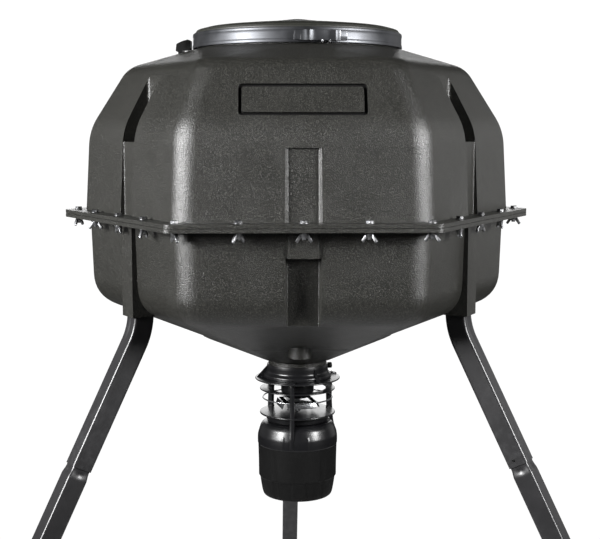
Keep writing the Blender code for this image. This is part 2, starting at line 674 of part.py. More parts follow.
def housing():
    """Neck ring, dome, seal and the pull-off cup. A ring on the cup's floor carries the battery."""
    neck = [
        (0.0475, 0.8803), (0.0505, 0.8803), (0.0510, 0.8785), (0.0510, 0.8705), (0.0490, 0.8684),
        (0.0475, 0.8684),
    ]
    made_object("housing_neck_ring", turned(neck, 32), GLOSS_BLACK)
    dome = [
        (0.0480, 0.8681), (0.0520, 0.8681), (0.0565, 0.8665), (0.0612, 0.8610), (0.0644, 0.8515),
        (0.0660, 0.8460), (0.0663, 0.8390), (0.0661, 0.8300), (0.0636, 0.8300), (0.0638, 0.8450),
        (0.0580, 0.8600), (0.0530, 0.8652), (0.0480, 0.8655),
    ]
    made_object("housing_dome", turned(dome, 28), GLOSS_BLACK)
    floor = CUP_BOTTOM + 0.0025
    cup = [
        (0.0656, CUP_TOP), (0.0647, 0.7775), (0.0627, 0.7765), (0.0615, 0.7670),
        (0.0582, CUP_BOTTOM + 0.0050), (0.0555, CUP_BOTTOM + 0.0005), (0, CUP_BOTTOM), (0, floor), (0.0180, floor),
        (0.0180, BATTERY_BOTTOM - GAP), (0.0205, BATTERY_BOTTOM - GAP), (0.0205, floor),
        (0.0530, floor), (0.0556, floor + 0.0035), (0.0592, 0.7670), (0.0605, 0.7775), (0.0631, CUP_TOP),
    ]
    made_object("housing_cup", turned(cup, 28), MATTE_BLACK)
    seal = [(0.0600, 0.8325), (0.0626, 0.8325), (0.0626, 0.8302), (0.0600, 0.8302)]
    made_object("housing_seal", turned(seal, 32), RUBBER)


def battery():
    """A 6 volt sealed battery on its side, with two terminal tabs."""
    half_x, half_y = 0.0505, 0.0235
    base = [(-half_x, -half_y), (half_x, -half_y), (half_x, half_y), (-half_x, half_y)]
    case = extruded(base, BATTERY_BOTTOM, 0.8215)
    body = made_object("battery", case, BATTERY_CASE)
    for side in (-1, 1):
        tab = extruded(
            [(side * 0.030 - 0.003, -0.002), (side * 0.030 + 0.003, -0.002),
             (side * 0.030 + 0.003, 0.002), (side * 0.030 - 0.003, 0.002)], 0.8200, 0.8245)
        join(body, made_object(f"battery_tab_{side}", tab, cutter=True))


def controls():
    """Control panel facing down inside the dome, with its display, three buttons and battery contacts."""
    disc = made_object(
        "control_panel", extruded(circle(0.0595, 32), PANEL_UNDERSIDE, 0.8395), MATTE_BLACK)
    window = (0.0, -0.0300)
    half_x, half_y = 0.0160, 0.0070
    signs = ((-1, -1), (1, -1), (1, 1), (-1, 1))
    frame = [(window[0] + sx * half_x, window[1] + sy * half_y) for sx, sy in signs]
    cut(disc, made_object("display_recess", extruded(frame, 0.8300, 0.8365), cutter=True))
    inner = [(x * 0.97, window[1] + (y - window[1]) * 0.94) for x, y in frame]
    made_object("display_window", extruded(inner, PANEL_UNDERSIDE + 0.0002, 0.8362), CLEAR_WINDOW)
    for number, name in enumerate(("mode", "up", "down")):
        centre = (-0.016 + 0.016 * number, 0.0300)
        well = extruded(circle(0.0042, 16, centre), 0.8300, 0.8378)
        cut(disc, made_object(f"button_well_{name}", well, cutter=True))
        cap = made_object(
            f"button_{name}", extruded(circle(0.0038, 16), -0.0018, 0.0028), BUTTON_GREY)
        cap.location = (*centre, PANEL_UNDERSIDE)
    for side in (-1, 1):
        leaf = extruded(
            [(side * 0.030 - 0.004, -0.004), (side * 0.030 + 0.004, -0.004),
             (side * 0.030 + 0.004, 0.004), (side * 0.030 - 0.004, 0.004)], 0.8249, PANEL_UNDERSIDE - GAP)
        made_object("battery_contact_" + ("right" if side > 0 else "left"), leaf, BRASS)


hopper_upper()
hopper_lower()
lid_tether_lug()
lid()
lid_gasket()
clamp_ring()
latch()
legs()
corner_bolts()
collar_ring()
collar_lock_knob()
drop_funnel()
guard_cage()
guard_hoop()
guard_screws()
spinner()
motor()
housing()
battery()
controls()
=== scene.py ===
"""Visual model of the tripod spin cast feeder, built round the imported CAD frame."""

import math
import random

import bmesh
import bpy
from mathutils import Matrix, Vector


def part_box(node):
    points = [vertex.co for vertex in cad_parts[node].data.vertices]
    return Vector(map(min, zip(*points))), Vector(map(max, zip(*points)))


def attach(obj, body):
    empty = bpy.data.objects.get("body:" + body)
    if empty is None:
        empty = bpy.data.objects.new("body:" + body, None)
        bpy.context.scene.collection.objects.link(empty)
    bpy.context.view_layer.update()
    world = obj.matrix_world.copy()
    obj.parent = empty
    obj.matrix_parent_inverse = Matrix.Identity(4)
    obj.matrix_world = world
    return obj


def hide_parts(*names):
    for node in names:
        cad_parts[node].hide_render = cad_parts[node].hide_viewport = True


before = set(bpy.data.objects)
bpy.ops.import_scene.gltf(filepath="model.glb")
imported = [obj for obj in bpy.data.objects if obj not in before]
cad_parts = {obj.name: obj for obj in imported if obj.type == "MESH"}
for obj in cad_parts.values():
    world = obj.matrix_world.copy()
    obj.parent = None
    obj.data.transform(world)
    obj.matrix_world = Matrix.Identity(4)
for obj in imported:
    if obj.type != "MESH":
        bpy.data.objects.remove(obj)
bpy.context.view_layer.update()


random.seed(7)


def centre_of(node):
    low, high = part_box(node)
    return (low + high) / 2


def box_from_axis(node):
    """A node's box, measured from the feeder's axis."""
    return [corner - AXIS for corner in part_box(node)]


# ---- places read from the frame
SHELL_LOW, SHELL_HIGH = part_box("hopper_upper")
AXIS = Vector((centre_of("hopper_upper").x, centre_of("hopper_upper").y, 0))
SPLIT = SHELL_LOW.z                                   # plane between the two flanges
FLANGE_RADIUS = (SHELL_HIGH.x - SHELL_LOW.x) / 2      # across a flange corner
BOLT_HEAD = 0.0045                                    # height of a bolt's head above the flange
NUT_GAP = 0.0003                                      # between the lower flange and a wing nut
FLANGE_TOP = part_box("flange_bolt_1")[1].z - BOLT_HEAD
FLANGE_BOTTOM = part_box("wing_nut_1")[1].z + NUT_GAP
OUTLET_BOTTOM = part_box("hopper_lower")[0].z
TUBE = 0.03175                                        # width of a leg tube
LEG_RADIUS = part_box("leg_upper_rear")[0].y - AXIS.y + TUBE / 2    # to the middle of an upright leg
LEG_AZIMUTHS = {"rear": 90.0, "left": 210.0, "right": 330.0}
PANEL_AZIMUTHS = (270.0, 30.0, 150.0)
FIN_AZIMUTHS = (260.0, 20.0, 140.0)
AT_AXIS = Matrix.Translation(AXIS)


# ---- materials
class Nodes:
    """Builds a node material on a Principled shader."""

    def __init__(self, name):
        self.material = bpy.data.materials.new(name)
        self.material.use_nodes = True
        self.tree = self.material.node_tree
        self.shader = self.tree.nodes["Principled BSDF"]
        self.place = self.tree.nodes.new("ShaderNodeTexCoord").outputs["Object"]

    def noise(self, scale, detail=3.0, roughness=0.55):
        node = self.tree.nodes.new("ShaderNodeTexNoise")
        node.inputs["Scale"].default_value = scale
        node.inputs["Detail"].default_value = detail
        node.inputs["Roughness"].default_value = roughness
        self.tree.links.new(self.place, node.inputs["Vector"])
        return node.outputs["Fac"]

    def span(self, value, low, high, to_low=0.0, to_high=1.0):
        node = self.tree.nodes.new("ShaderNodeMapRange")
        node.inputs["From Min"].default_value = low
        node.inputs["From Max"].default_value = high
        node.inputs["To Min"].default_value = to_low
        node.inputs["To Max"].default_value = to_high
        self.tree.links.new(value, node.inputs["Value"])
        return node.outputs["Result"]

    def edges(self, low, high):
        """Where the surface is convex, as a worn edge is."""
        return self.span(self.tree.nodes.new("ShaderNodeNewGeometry").outputs["Pointiness"], low, high)

    def product(self, one, two):
        node = self.tree.nodes.new("ShaderNodeMath")
        node.operation = "MULTIPLY"
        self.tree.links.new(one, node.inputs[0])
        self.tree.links.new(two, node.inputs[1])
        return node.outputs[0]

    def mixed(self, factor, one, two):
        node = self.tree.nodes.new("ShaderNodeMix")
        node.data_type = "RGBA"
        for socket, value in ((node.inputs[6], one), (node.inputs[7], two)):
            if isinstance(value, tuple):
                socket.default_value = (*value, 1)
            else:
                self.tree.links.new(value, socket)
        self.tree.links.new(factor, node.inputs[0])
        return node.outputs[2]

    def bump(self, *layers):
        """Layers of (height, distance in metres, strength), each on top of the last."""
        normal = None
        for height, distance, strength in layers:
            node = self.tree.nodes.new("ShaderNodeBump")
            node.inputs["Distance"].default_value = distance
            node.inputs["Strength"].default_value = strength
            self.tree.links.new(height, node.inputs["Height"])
            if normal is not None:
                self.tree.links.new(normal, node.inputs["Normal"])
            normal = node.outputs["Normal"]
        self.tree.links.new(normal, self.shader.inputs["Normal"])

    def feed(self, socket, value):
        self.tree.links.new(value, self.shader.inputs[socket])


def plastic(name, dark, light, roughness, stipple, depth, specular=0.5, speck_and_glint_gain=1.5, drift=0.03):
    """A moulded plastic with a fine stipple, and a slow drift in colour and gloss. Pale specks on the
    stipple's grain are partly the plastic's own speckle and partly painted glints of the stipple.
    """
    made = Nodes(name)
    grain = made.noise(stipple, 2.0, 0.6)
    colour = made.mixed(made.span(made.noise(6.0, 4.0), 0.35, 0.65), dark, light)
    # pale specks where the stipple rises: partly speckle in the plastic, partly painted glints
    speck_and_glint = tuple(min(c * speck_and_glint_gain, 1) for c in light)
    made.feed("Base Color", made.mixed(made.span(grain, 0.50, 0.66), colour, speck_and_glint))
    made.feed("Roughness", made.span(made.noise(25.0, 4.0), 0.3, 0.7, roughness - drift, roughness + drift))
    made.bump((made.noise(9.0, 2.0), 0.004, 0.05), (grain, depth, 0.8))
    made.shader.inputs["Specular IOR Level"].default_value = specular
    return made.material


def metal(name, dark, light, roughness, metallic, scale, depth, worn, drift=0.10):
    """A plated or painted metal with fine texture, smears and worn edges."""
    made = Nodes(name)
    grain = made.noise(scale, 4.0, 0.6)
    smear = made.noise(22.0, 5.0)
    colour = made.mixed(made.span(smear, 0.35, 0.68), dark, light)
    scuffs = made.product(made.edges(0.52, 0.58), made.span(made.noise(90.0, 4.0), 0.45, 0.7))
    made.feed("Base Color", made.mixed(scuffs, colour, worn))
    made.feed("Roughness", made.span(smear, 0.3, 0.7, roughness - drift * 0.6, roughness + drift))
    made.bump((grain, depth, 0.35))
    made.shader.inputs["Metallic"].default_value = metallic
    return made.material


HOPPER = plastic(
    "hopper_plastic_look", (0.0052, 0.0052, 0.0044), (0.0066, 0.0065, 0.0057),
    0.350, 680.0, 0.0009, specular=0.44, speck_and_glint_gain=4.5)
LID = plastic(
    "lid_plastic_look", (0.0052, 0.0054, 0.0040), (0.0076, 0.0078, 0.0060),
    0.52, 700.0, 0.0002, specular=0.30, speck_and_glint_gain=2.0)
LEG_PAINT = metal(
    "leg_paint_look", (0.0078, 0.0076, 0.0083), (0.0095, 0.0092, 0.0100),
    0.36, 0.1, 900.0, 0.0001, (0.018, 0.018, 0.019), drift=0.03)
GUNMETAL = metal(
    "gunmetal_look", (0.033, 0.0343, 0.0372), (0.043, 0.0442, 0.048),
    0.40, 0.85, 400.0, 0.00008, (0.25, 0.25, 0.26))
ZINC = metal(
    "zinc_look", (0.16, 0.163, 0.17), (0.24, 0.243, 0.25), 0.26, 0.95, 700.0, 0.0001, (0.50, 0.50, 0.51))
BOLT = metal(
    "bolt_look", (0.05, 0.051, 0.054), (0.08, 0.081, 0.085), 0.38, 0.9, 700.0, 0.0001, (0.18, 0.18, 0.18))
GLOSS = plastic(
    "gloss_black_look", (0.0024, 0.0024, 0.0028), (0.0034, 0.0034, 0.0039),
    0.31, 700.0, 0.00003, specular=0.36)
MATTE = plastic(
    "matte_black_look", (0.0024, 0.0024, 0.0024), (0.0034, 0.0034, 0.0034),
    0.46, 900.0, 0.00010, specular=0.10, speck_and_glint_gain=2.0)
RUBBER = plastic(
    "rubber_look", (0.0040, 0.0040, 0.0040), (0.0060, 0.0060, 0.0060), 0.72, 500.0, 0.0003, specular=0.3)
CASE = plastic("battery_case_look", (0.030, 0.033, 0.040), (0.042, 0.046, 0.053), 0.42, 600.0, 0.0003)
BUTTON = plastic("button_look", (0.24, 0.25, 0.26), (0.30, 0.31, 0.32), 0.45, 900.0, 0.0002, speck_and_glint_gain=1.2)
WINDOW = plastic(
    "window_look", (0.18, 0.22, 0.18), (0.22, 0.27, 0.22), 0.08, 300.0, 0.00003, speck_and_glint_gain=1.1, drift=0.01)
BRASS = metal(
    "brass_look", (0.50, 0.36, 0.14), (0.66, 0.50, 0.22), 0.28, 1.0, 500.0, 0.0001, (0.8, 0.7, 0.4))


# ---- shape tools
def link_mesh(name, mesh, place=None):
    obj = bpy.data.objects.new(name, mesh)
    bpy.context.scene.collection.objects.link(obj)
    obj.matrix_world = place if place is not None else Matrix.Identity(4)
    return obj


def mesh_of(name, bm):
    bmesh.ops.recalc_face_normals(bm, faces=bm.faces)
    mesh = bpy.data.meshes.new(name)
    bm.to_mesh(mesh)
    bm.free()
    return mesh


def evaluated(obj):
    """Puts what an object's modifiers make into its mesh."""
    bpy.context.view_layer.update()
    graph = bpy.context.evaluated_depsgraph_get()
    mesh = bpy.data.meshes.new_from_object(obj.evaluated_get(graph))
    obj.modifiers.clear()
    obj.data = mesh


def bevelled(obj, width, segments=2, angle=40):
    step = obj.modifiers.new("edges", "BEVEL")
    step.width = width
    step.segments = segments
    step.limit_method = "ANGLE"
    step.angle_limit = math.radians(angle)
    step.use_clamp_overlap = True
    step.harden_normals = False
    evaluated(obj)


def piece(name, bm, body, look, replaces=(), bevel=0.0, place=None, sharp=40):
    """A visible piece. Its shape is drawn about the feeder's axis, unless it has a place of its own."""
    if isinstance(bm, bmesh.types.BMesh):
        if place is None:
            bm.transform(AT_AXIS)
        obj = link_mesh(name, mesh_of(name, bm), place)
    else:
        obj = bm
        obj.name = name
    if bevel:
        bevelled(obj, bevel)
    return dressed(obj, body, look, replaces, sharp)


def dressed(obj, body, look, replaces=(), sharp=40):
    """Gives a piece its look, its body and the nodes that it stands for."""
    mesh = obj.data
    mesh.materials.clear()
    mesh.materials.append(look)
    mesh.shade_smooth()
    mesh.set_sharp_from_angle(angle=math.radians(sharp))
    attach(obj, body)
    if replaces:
        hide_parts(*replaces)
    return obj


def flattened(obj):
    """Weights the normals by face area, so that a broad face between rounded edges shades flat."""
    obj.data.shade_smooth()
    obj.data.set_sharp_from_angle(angle=math.radians(40))
    obj.modifiers.new("normals", "WEIGHTED_NORMAL").keep_sharp = True
    evaluated(obj)


def skin(loops, ring=False):
    """A solid through loops of points. A ring joins last to first, and any other shape gets end caps."""
    bm = bmesh.new()
    rows = [[bm.verts.new(point) for point in loop] for loop in loops]
    count = len(rows[0])
    pairs = list(zip(rows, rows[1:]))
    if ring:
        pairs.append((rows[-1], rows[0]))
    for low, high in pairs:
        for i in range(count):
            j = (i + 1) % count
            bm.faces.new((low[i], low[j], high[j], high[i]))
    if not ring:
        bm.faces.new(rows[0])
        bm.faces.new(rows[-1])
    return bm


def turned(profile, steps=96, shape=None):
    """A solid of revolution from an outline of (radius, height). shape(angle, r, z) may change a radius."""
    bm = bmesh.new()
    rows = []
    for radius, height in profile:
        if radius == 0:
            rows.append([bm.verts.new((0, 0, height))])
            continue
        row = []
        for i in range(steps):
            angle = 2 * math.pi * i / steps
            r = shape(math.degrees(angle), radius, height) if shape else radius
            row.append(bm.verts.new((r * math.cos(angle), r * math.sin(angle), height)))
        rows.append(row)
    for low, high in zip(rows, rows[1:] + rows[:1]):
        for i in range(steps):
            j = (i + 1) % steps
            if len(low) > 1 and len(high) > 1:
                bm.faces.new((low[i], low[j], high[j], high[i]))
            elif len(low) > 1:
                bm.faces.new((low[i], low[j], high[0]))
            elif len(high) > 1:
                bm.faces.new((low[0], high[j], high[i]))
    return bm


def softened(points, steps=4, closed=True):
    """Rounds the corners of an outline. A point is (a, b, reach), and reach is how far its curve runs."""
    out = []
    count = len(points)
    for i, (a, b, reach) in enumerate(points):
        corner = Vector((a, b))
        if reach == 0 or (not closed and i in (0, count - 1)):
            out.append((a, b))
            continue
        before = Vector(points[i - 1][:2])
        after = Vector(points[(i + 1) % count][:2])
        start = corner + (before - corner).normalized() * min(reach, (before - corner).length * 0.49)
        end = corner + (after - corner).normalized() * min(reach, (after - corner).length * 0.49)
        for k in range(steps + 1):
            t = k / steps
            point = start * (1 - t) ** 2 + corner * 2 * t * (1 - t) + end * t ** 2
            out.append((point.x, point.y))
    return out


def rectangle(start, end, reach=0.0):
    """The corners of a rectangle, as softened takes them."""
    (x0, y0), (x1, y1) = start, end
    return [(x0, y0, reach), (x1, y0, reach), (x1, y1, reach), (x0, y1, reach)]


def extruded(outline, low, high):
    return skin([[Vector((x, y, z)) for x, y in outline] for z in (low, high)])


def circle(radius, steps, centre=(0.0, 0.0)):
    turns = [2 * math.pi * i / steps for i in range(steps)]
    return [(centre[0] + radius * math.cos(a), centre[1] + radius * math.sin(a)) for a in turns]


def plate(outline, low, high):
    return extruded(softened(outline, 4), low, high)


def turn_to(azimuth):
    return Matrix.Rotation(math.radians(azimuth), 4, "Z")


def polar(radius, azimuth, height=0.0):
    angle = math.radians(azimuth)
    return Vector((radius * math.cos(angle), radius * math.sin(angle), height))


def standing(spot, height, turn):
    """A place at a height over a spot, turned about the upright."""
    return Matrix.Translation(AXIS + spot + Vector((0, 0, height))) @ turn_to(turn)


def merged(*shapes):
    """One bmesh from several."""
    whole = bmesh.new()
    for shape in shapes:
        mesh = bpy.data.meshes.new("part")
        bmesh.ops.recalc_face_normals(shape, faces=shape.faces)
        shape.to_mesh(mesh)
        shape.free()
        whole.from_mesh(mesh)
        bpy.data.meshes.remove(mesh)
    return whole


def moved(bm, matrix):
    bm.transform(matrix)
    return bm


def solid(name, bm, place=None):
    """A helper solid about the feeder's axis, for joining and cutting."""
    if place is not None:
        bm.transform(place)
    bm.transform(AT_AXIS)
    return link_mesh(name, mesh_of(name, bm))


def carve(obj, steps):
    """Joins and cuts in order, then drops the helpers."""
    for operation, helper in steps:
        made = obj.modifiers.new("step", "BOOLEAN")
        made.operation = operation
        made.solver = "EXACT"
        made.object = helper
        helper.hide_render = True
    evaluated(obj)
    for _, helper in steps:
        bpy.data.objects.remove(helper, do_unlink=True)
    mesh = obj.data
    bm = bmesh.new()
    bm.from_mesh(mesh)
    bmesh.ops.remove_doubles(bm, verts=bm.verts, dist=0.00002)
    bmesh.ops.dissolve_degenerate(bm, edges=bm.edges, dist=0.00002)
    bm.to_mesh(mesh)
    bm.free()


def bar(radii, width, heights, azimuth, outer_width=None, corner=0.002, lean=0.0):
    """A block between two radii and two heights, with round inner edges. Its foot may lean out."""
    inner, outer = width / 2, (outer_width or width) / 2
    outline = softened([
        (radii[0], -inner, corner), (radii[1], -outer, 0), (radii[1], outer, 0), (radii[0], inner, corner)])
    loops = [[Vector((x + shift, y, z)) for x, y in outline] for z, shift in zip(heights, (lean, 0.0))]
    return solid("bar", skin(loops), turn_to(azimuth))


# ---- hopper shells
CORNER = 0.040
WALL = 0.004
NOTCH_BACK, NOTCH_FLOOR, NOTCH_WIDTH = 0.2515, 1.3306, 0.043
CHANNEL_FLOOR, CHANNEL_WIDTH = 0.2950, 0.0412
PANEL_WIDTH, PANEL_TOP = 0.048, 1.3236
SOCKET_FACE, SOCKET_MOUTH, SOCKET_WIDTH, SOCKET_BORE = 0.3024, 1.067, 0.038, 0.03256
POCKET_BACK, POCKET_TOP, POCKET_LEAN, BLOCK_FACE = 0.2680, 1.1705, 0.0120, 0.3005


def hexagon(radius, rounding, height, steps=9):
    centre = radius - rounding
    spread = 60 if centre > 0.0001 else 60 * steps / (steps + 1)
    points = []
    for corner in range(6):
        middle = math.radians(60 * corner)
        for i in range(steps + 1):
            angle = middle + math.radians(spread * (i / steps - 0.5))
            points.append(Vector((
                centre * math.cos(middle) + rounding * math.cos(angle),
                centre * math.sin(middle) + rounding * math.sin(angle),
                height,
            )))
    return points


def rounding_at(stations, height):
    """The corner rounding at a height, from stations of (height, rounding)."""
    for (z0, c0), (z1, c1) in zip(stations, stations[1:]):
        if min(z0, z1) <= height <= max(z0, z1):
            return c0 + (c1 - c0) * (height - z0) / (z1 - z0)
    return min(stations[0], stations[-1], key=lambda station: abs(height - station[0]))[1]


def wall_stations(outline, roundings, inset=0.0):
    """(radius, height, rounding) along a softened outline, moved in by inset square to the wall."""
    points = [Vector(p) for p in softened(outline, 8, closed=False)]
    stations = []
    for i, point in enumerate(points):
        along = points[min(i + 1, len(points) - 1)] - points[max(i - 1, 0)]
        normal = Vector((-along.y, along.x)).normalized()
        rounding = rounding_at(roundings, point.y)
        inner = point + normal * inset
        centre = min(point.x - rounding, inner.x - 0.004)
        stations.append((inner.x, inner.y, inner.x - centre))
    return stations


UPPER_OUTLINE = [
    (0.3429, FLANGE_TOP, 0), (0.3353, 1.3487, 0.024), (0.2719, 1.4472, 0.019), (0.1760, 1.4722, 0)]
UPPER_ROUNDINGS = [(FLANGE_TOP, CORNER), (1.4330, CORNER), (1.4515, 0.050), (1.4722, 0.176)]
LOWER_OUTLINE = [(0.3362, FLANGE_BOTTOM, 0), (0.3322, 1.0800, 0.036), (0.1570, 1.0122, 0)]
LOWER_ROUNDINGS = [(FLANGE_BOTTOM, CORNER), (1.0690, CORNER), (1.0122, 0.014)]


def lofted(name, stations):
    return solid(name, skin([hexagon(r, c, z) for r, z, c in stations]))


FRAME_WIDTH, FRAME_HEIGHT, FRAME_LINE = 0.1806, 0.0510, 0.0052
FRAME_DEPTH, FRAME_CORNER = 0.0037, 0.007
FRAME_PLACE = Matrix.Translation((0, -0.2727, 1.3908)) @ Matrix.Rotation(math.radians(90 - 29.1), 4, "X")


def name_frame():
    """A rounded rectangular groove on the front of the shoulder."""
    def outline(shrink):
        w, h = FRAME_WIDTH / 2 - shrink, FRAME_HEIGHT / 2 - shrink
        return softened(rectangle((-w, -h), (w, h), FRAME_CORNER - shrink * 0.6), 5)

    outer, inner = outline(0.0), outline(FRAME_LINE)
    deep_out, deep_in = outline(FRAME_LINE * 0.12), outline(FRAME_LINE * 0.88)
    loops = [[Vector((x, y, z)) for x, y in ring] for ring, z in (
        (deep_out, -FRAME_DEPTH), (outer, 0.0002), (outer, 0.012), (inner, 0.012), (inner, 0.0002),
        (deep_in, -FRAME_DEPTH))]
    return solid("name_groove", skin(loops, ring=True), FRAME_PLACE)


def paint_groove_shade(shell):
    """Paints the groove's shade: its floor and walls get the matte black look in place of the shell's own."""
    shell.data.materials.append(MATTE)
    to_frame = (AT_AXIS @ FRAME_PLACE).inverted() @ shell.matrix_world
    for face in shell.data.polygons:
        x, y, z = to_frame @ face.center
        within = abs(x) < FRAME_WIDTH / 2 + 0.001 and abs(y) < FRAME_HEIGHT / 2 + 0.001
        if within and -FRAME_DEPTH - 0.0001 < z < -0.0008:
            # index 1 is the matte black look, painted shade in the groove
            face.material_index = 1


def upper_shell():
    flange = [(FLANGE_RADIUS, SPLIT, 0.012), (FLANGE_RADIUS, FLANGE_TOP, 0.012)]
    neck = [(r, z, r) for r, z in ((0.161, 1.4755), (0.161, 1.4850), (0.165, 1.4865), (0.165, 1.4905))]
    shell = lofted("shell", flange + wall_stations(UPPER_OUTLINE, UPPER_ROUNDINGS) + neck)
    inside = wall_stations(UPPER_OUTLINE, UPPER_ROUNDINGS, WALL)
    inside = [(inside[0][0], 1.20, inside[0][2])] + inside
    inside += [(0.157, 1.4755, 0.157), (0.157, 1.52, 0.157)]
    cavity = lofted("cavity", inside)

    def recesses(grow):
        steps = []
        for azimuth in LEG_AZIMUTHS.values():
            steps.append(("DIFFERENCE", bar(
                (NOTCH_BACK - grow, 0.40), NOTCH_WIDTH + 2 * grow, (NOTCH_FLOOR - grow, 1.50), azimuth,
                corner=0.006)))
            steps.append(("DIFFERENCE", bar(
                (CHANNEL_FLOOR - grow, 0.39), CHANNEL_WIDTH + 2 * grow,
                (1.19 if grow else FLANGE_TOP, NOTCH_FLOOR + 0.002), azimuth)))
        for azimuth in PANEL_AZIMUTHS:
            steps.append(("DIFFERENCE", bar(
                (0.2927 - grow, 0.3090), PANEL_WIDTH - 0.005 + 2 * grow,
                (1.19 if grow else FLANGE_TOP, PANEL_TOP + grow), azimuth, PANEL_WIDTH + 0.022 + 2 * grow,
                corner=0.0012, lean=0.0040)))
        return steps

    carve(cavity, recesses(WALL))
    carve(shell, recesses(0.0) + [("DIFFERENCE", name_frame()), ("DIFFERENCE", cavity)])
    bevelled(shell, 0.0011)
    flattened(shell)
    piece("hopper_upper_shell", shell, "stand", HOPPER, ("hopper_upper",))
    # painted shade in the name frame's groove
    paint_groove_shade(shell)


def lower_shell():
    flange = [(FLANGE_RADIUS, SPLIT - 0.0006, 0.012), (FLANGE_RADIUS, FLANGE_BOTTOM, 0.012)]
    foot = [
        (0.1545, 1.0100, 0.014), (0.1450, 1.0056, 0.014), (0.0600, 0.9750, 0.060), (0.0478, 0.9712, 0.0478),
        (0.0478, OUTLET_BOTTOM, 0.0478)]
    shell = lofted("shell", flange + wall_stations(LOWER_OUTLINE, LOWER_ROUNDINGS) + foot)
    inside = wall_stations(LOWER_OUTLINE, LOWER_ROUNDINGS, -WALL)
    inside = [(inside[0][0], 1.23, inside[0][2])] + inside
    inside += [(0.0590, 0.9788, 0.059), (0.0438, 0.9745, 0.0438), (0.0438, 0.94, 0.0438)]
    cavity = lofted("cavity", inside)
    walls, steps = [], []
    for azimuth in LEG_AZIMUTHS.values():
        walls.append(("DIFFERENCE", bar((LEG_RADIUS - 0.0203, 0.34), 0.0405, (1.0, 1.196), azimuth)))
        steps.append(("UNION", bar(
            (0.2640, SOCKET_FACE), SOCKET_WIDTH, (SOCKET_MOUTH, FLANGE_BOTTOM + 0.002), azimuth)))
        steps.append(("DIFFERENCE", bar(
            (LEG_RADIUS - SOCKET_BORE / 2, LEG_RADIUS + SOCKET_BORE / 2), SOCKET_BORE, (1.02, 1.192),
            azimuth, corner=0.001)))
    for azimuth in PANEL_AZIMUTHS:
        walls.append(("DIFFERENCE", bar(
            (POCKET_BACK - WALL, 0.34), 0.054, (1.0, POCKET_TOP + WALL), azimuth, 0.072)))
        steps.append(("UNION", bar(
            (0.2860, BLOCK_FACE), PANEL_WIDTH + 0.002, (1.1600, FLANGE_BOTTOM + 0.002), azimuth,
            PANEL_WIDTH - 0.007)))
        steps.append(("DIFFERENCE", bar(
            (POCKET_BACK + POCKET_LEAN, 0.3220), 0.046, (1.03, POCKET_TOP), azimuth, 0.057,
            lean=-POCKET_LEAN)))
    boss = circle(0.0176, 48, polar(0.135, 270).xy)
    steps.append(("UNION", solid("boss", extruded(boss, 0.9993, 1.0180))))
    carve(cavity, walls)
    carve(shell, steps + [("DIFFERENCE", cavity)])
    bevelled(shell, 0.0013)
    flattened(shell)
    piece("hopper_lower_shell", shell, "stand", HOPPER, ("hopper_lower",))


# ---- flange fasteners
def bolt_head():
    return merged(
        turned([
            (0, 0.0), (0.0062, 0.0), (0.0066, 0.0004), (0.0064, 0.0010), (0.0052, 0.0013), (0, 0.0013)], 32),
        skin([[Vector((x, y, z)) for x, y in circle(r, 6)] for r, z in (
            (0.0056, 0.0008), (0.0056, 0.0040), (0.0050, BOLT_HEAD))]))


def wing_nut():
    wing = softened([
        (0.0030, -0.0010, 0), (0.0058, -0.0024, 0.001), (0.0122, -0.0122, 0.0008),
        (0.0092, -0.0148, 0.0008), (0.0036, -0.0072, 0.001)], 3)
    parts = [turned([
        (0, -NUT_GAP), (0.0054, -NUT_GAP), (0.0056, -0.0010), (0.0048, -0.0060), (0.0036, -0.0082),
        (0.0031, -0.0084), (0.0031, -0.0100), (0.0026, -0.0104), (0, -0.0104)], 24)]
    cx, cz = 0.008, -0.008
    for side in (0, 180):
        loops = []
        for across, thin in ((-0.0013, 0.82), (-0.0009, 1.0), (0.0009, 1.0), (0.0013, 0.82)):
            loops.append([
                Vector((cx + (x - cx) * thin, across * 1.5, cz + (z - cz) * thin)) for x, z in wing])
        parts.append(moved(skin(loops), turn_to(side)))
    return merged(*parts)


def fasteners():
    """A bolt and a wing nut at each corner of the flange, and three of each along each side."""
    head_mesh = mesh_of("bolt_head", bolt_head())
    nut_mesh = mesh_of("wing_nut", wing_nut())
    spots = []
    for corner in range(6):
        spots.append((polar(0.356, 60 * corner), 60 * corner + 90, f"corner_{corner + 1}", corner + 1))
    for edge in range(6):
        azimuth = 60 * edge + 30
        for letter, along in zip("abc", (-0.0903, 0.0, 0.0903)):
            side = polar(1, azimuth + 90) * along
            spots.append((polar(0.3148, azimuth) + side, azimuth + 90, f"edge_{edge + 1}{letter}", None))
    for spot, turn, label, node in spots:
        if label.endswith("b"):
            wander = random.uniform(-12, 12)
        else:
            wander = random.choice((-1, 1)) * random.uniform(25, 65)
        top = standing(spot, FLANGE_TOP + 0.0001, random.uniform(0, 60))
        bolt = link_mesh("bolt_" + label, head_mesh.copy(), top)
        nut = link_mesh("nut_" + label, nut_mesh.copy(), standing(spot, FLANGE_BOTTOM, turn + wander))
        bevelled(nut, 0.0004, 2, 35)
        dressed(bolt, "stand", BOLT, (f"flange_bolt_{node}",) if node else ())
        dressed(nut, "stand", ZINC, (f"wing_nut_{node}",) if node else ())


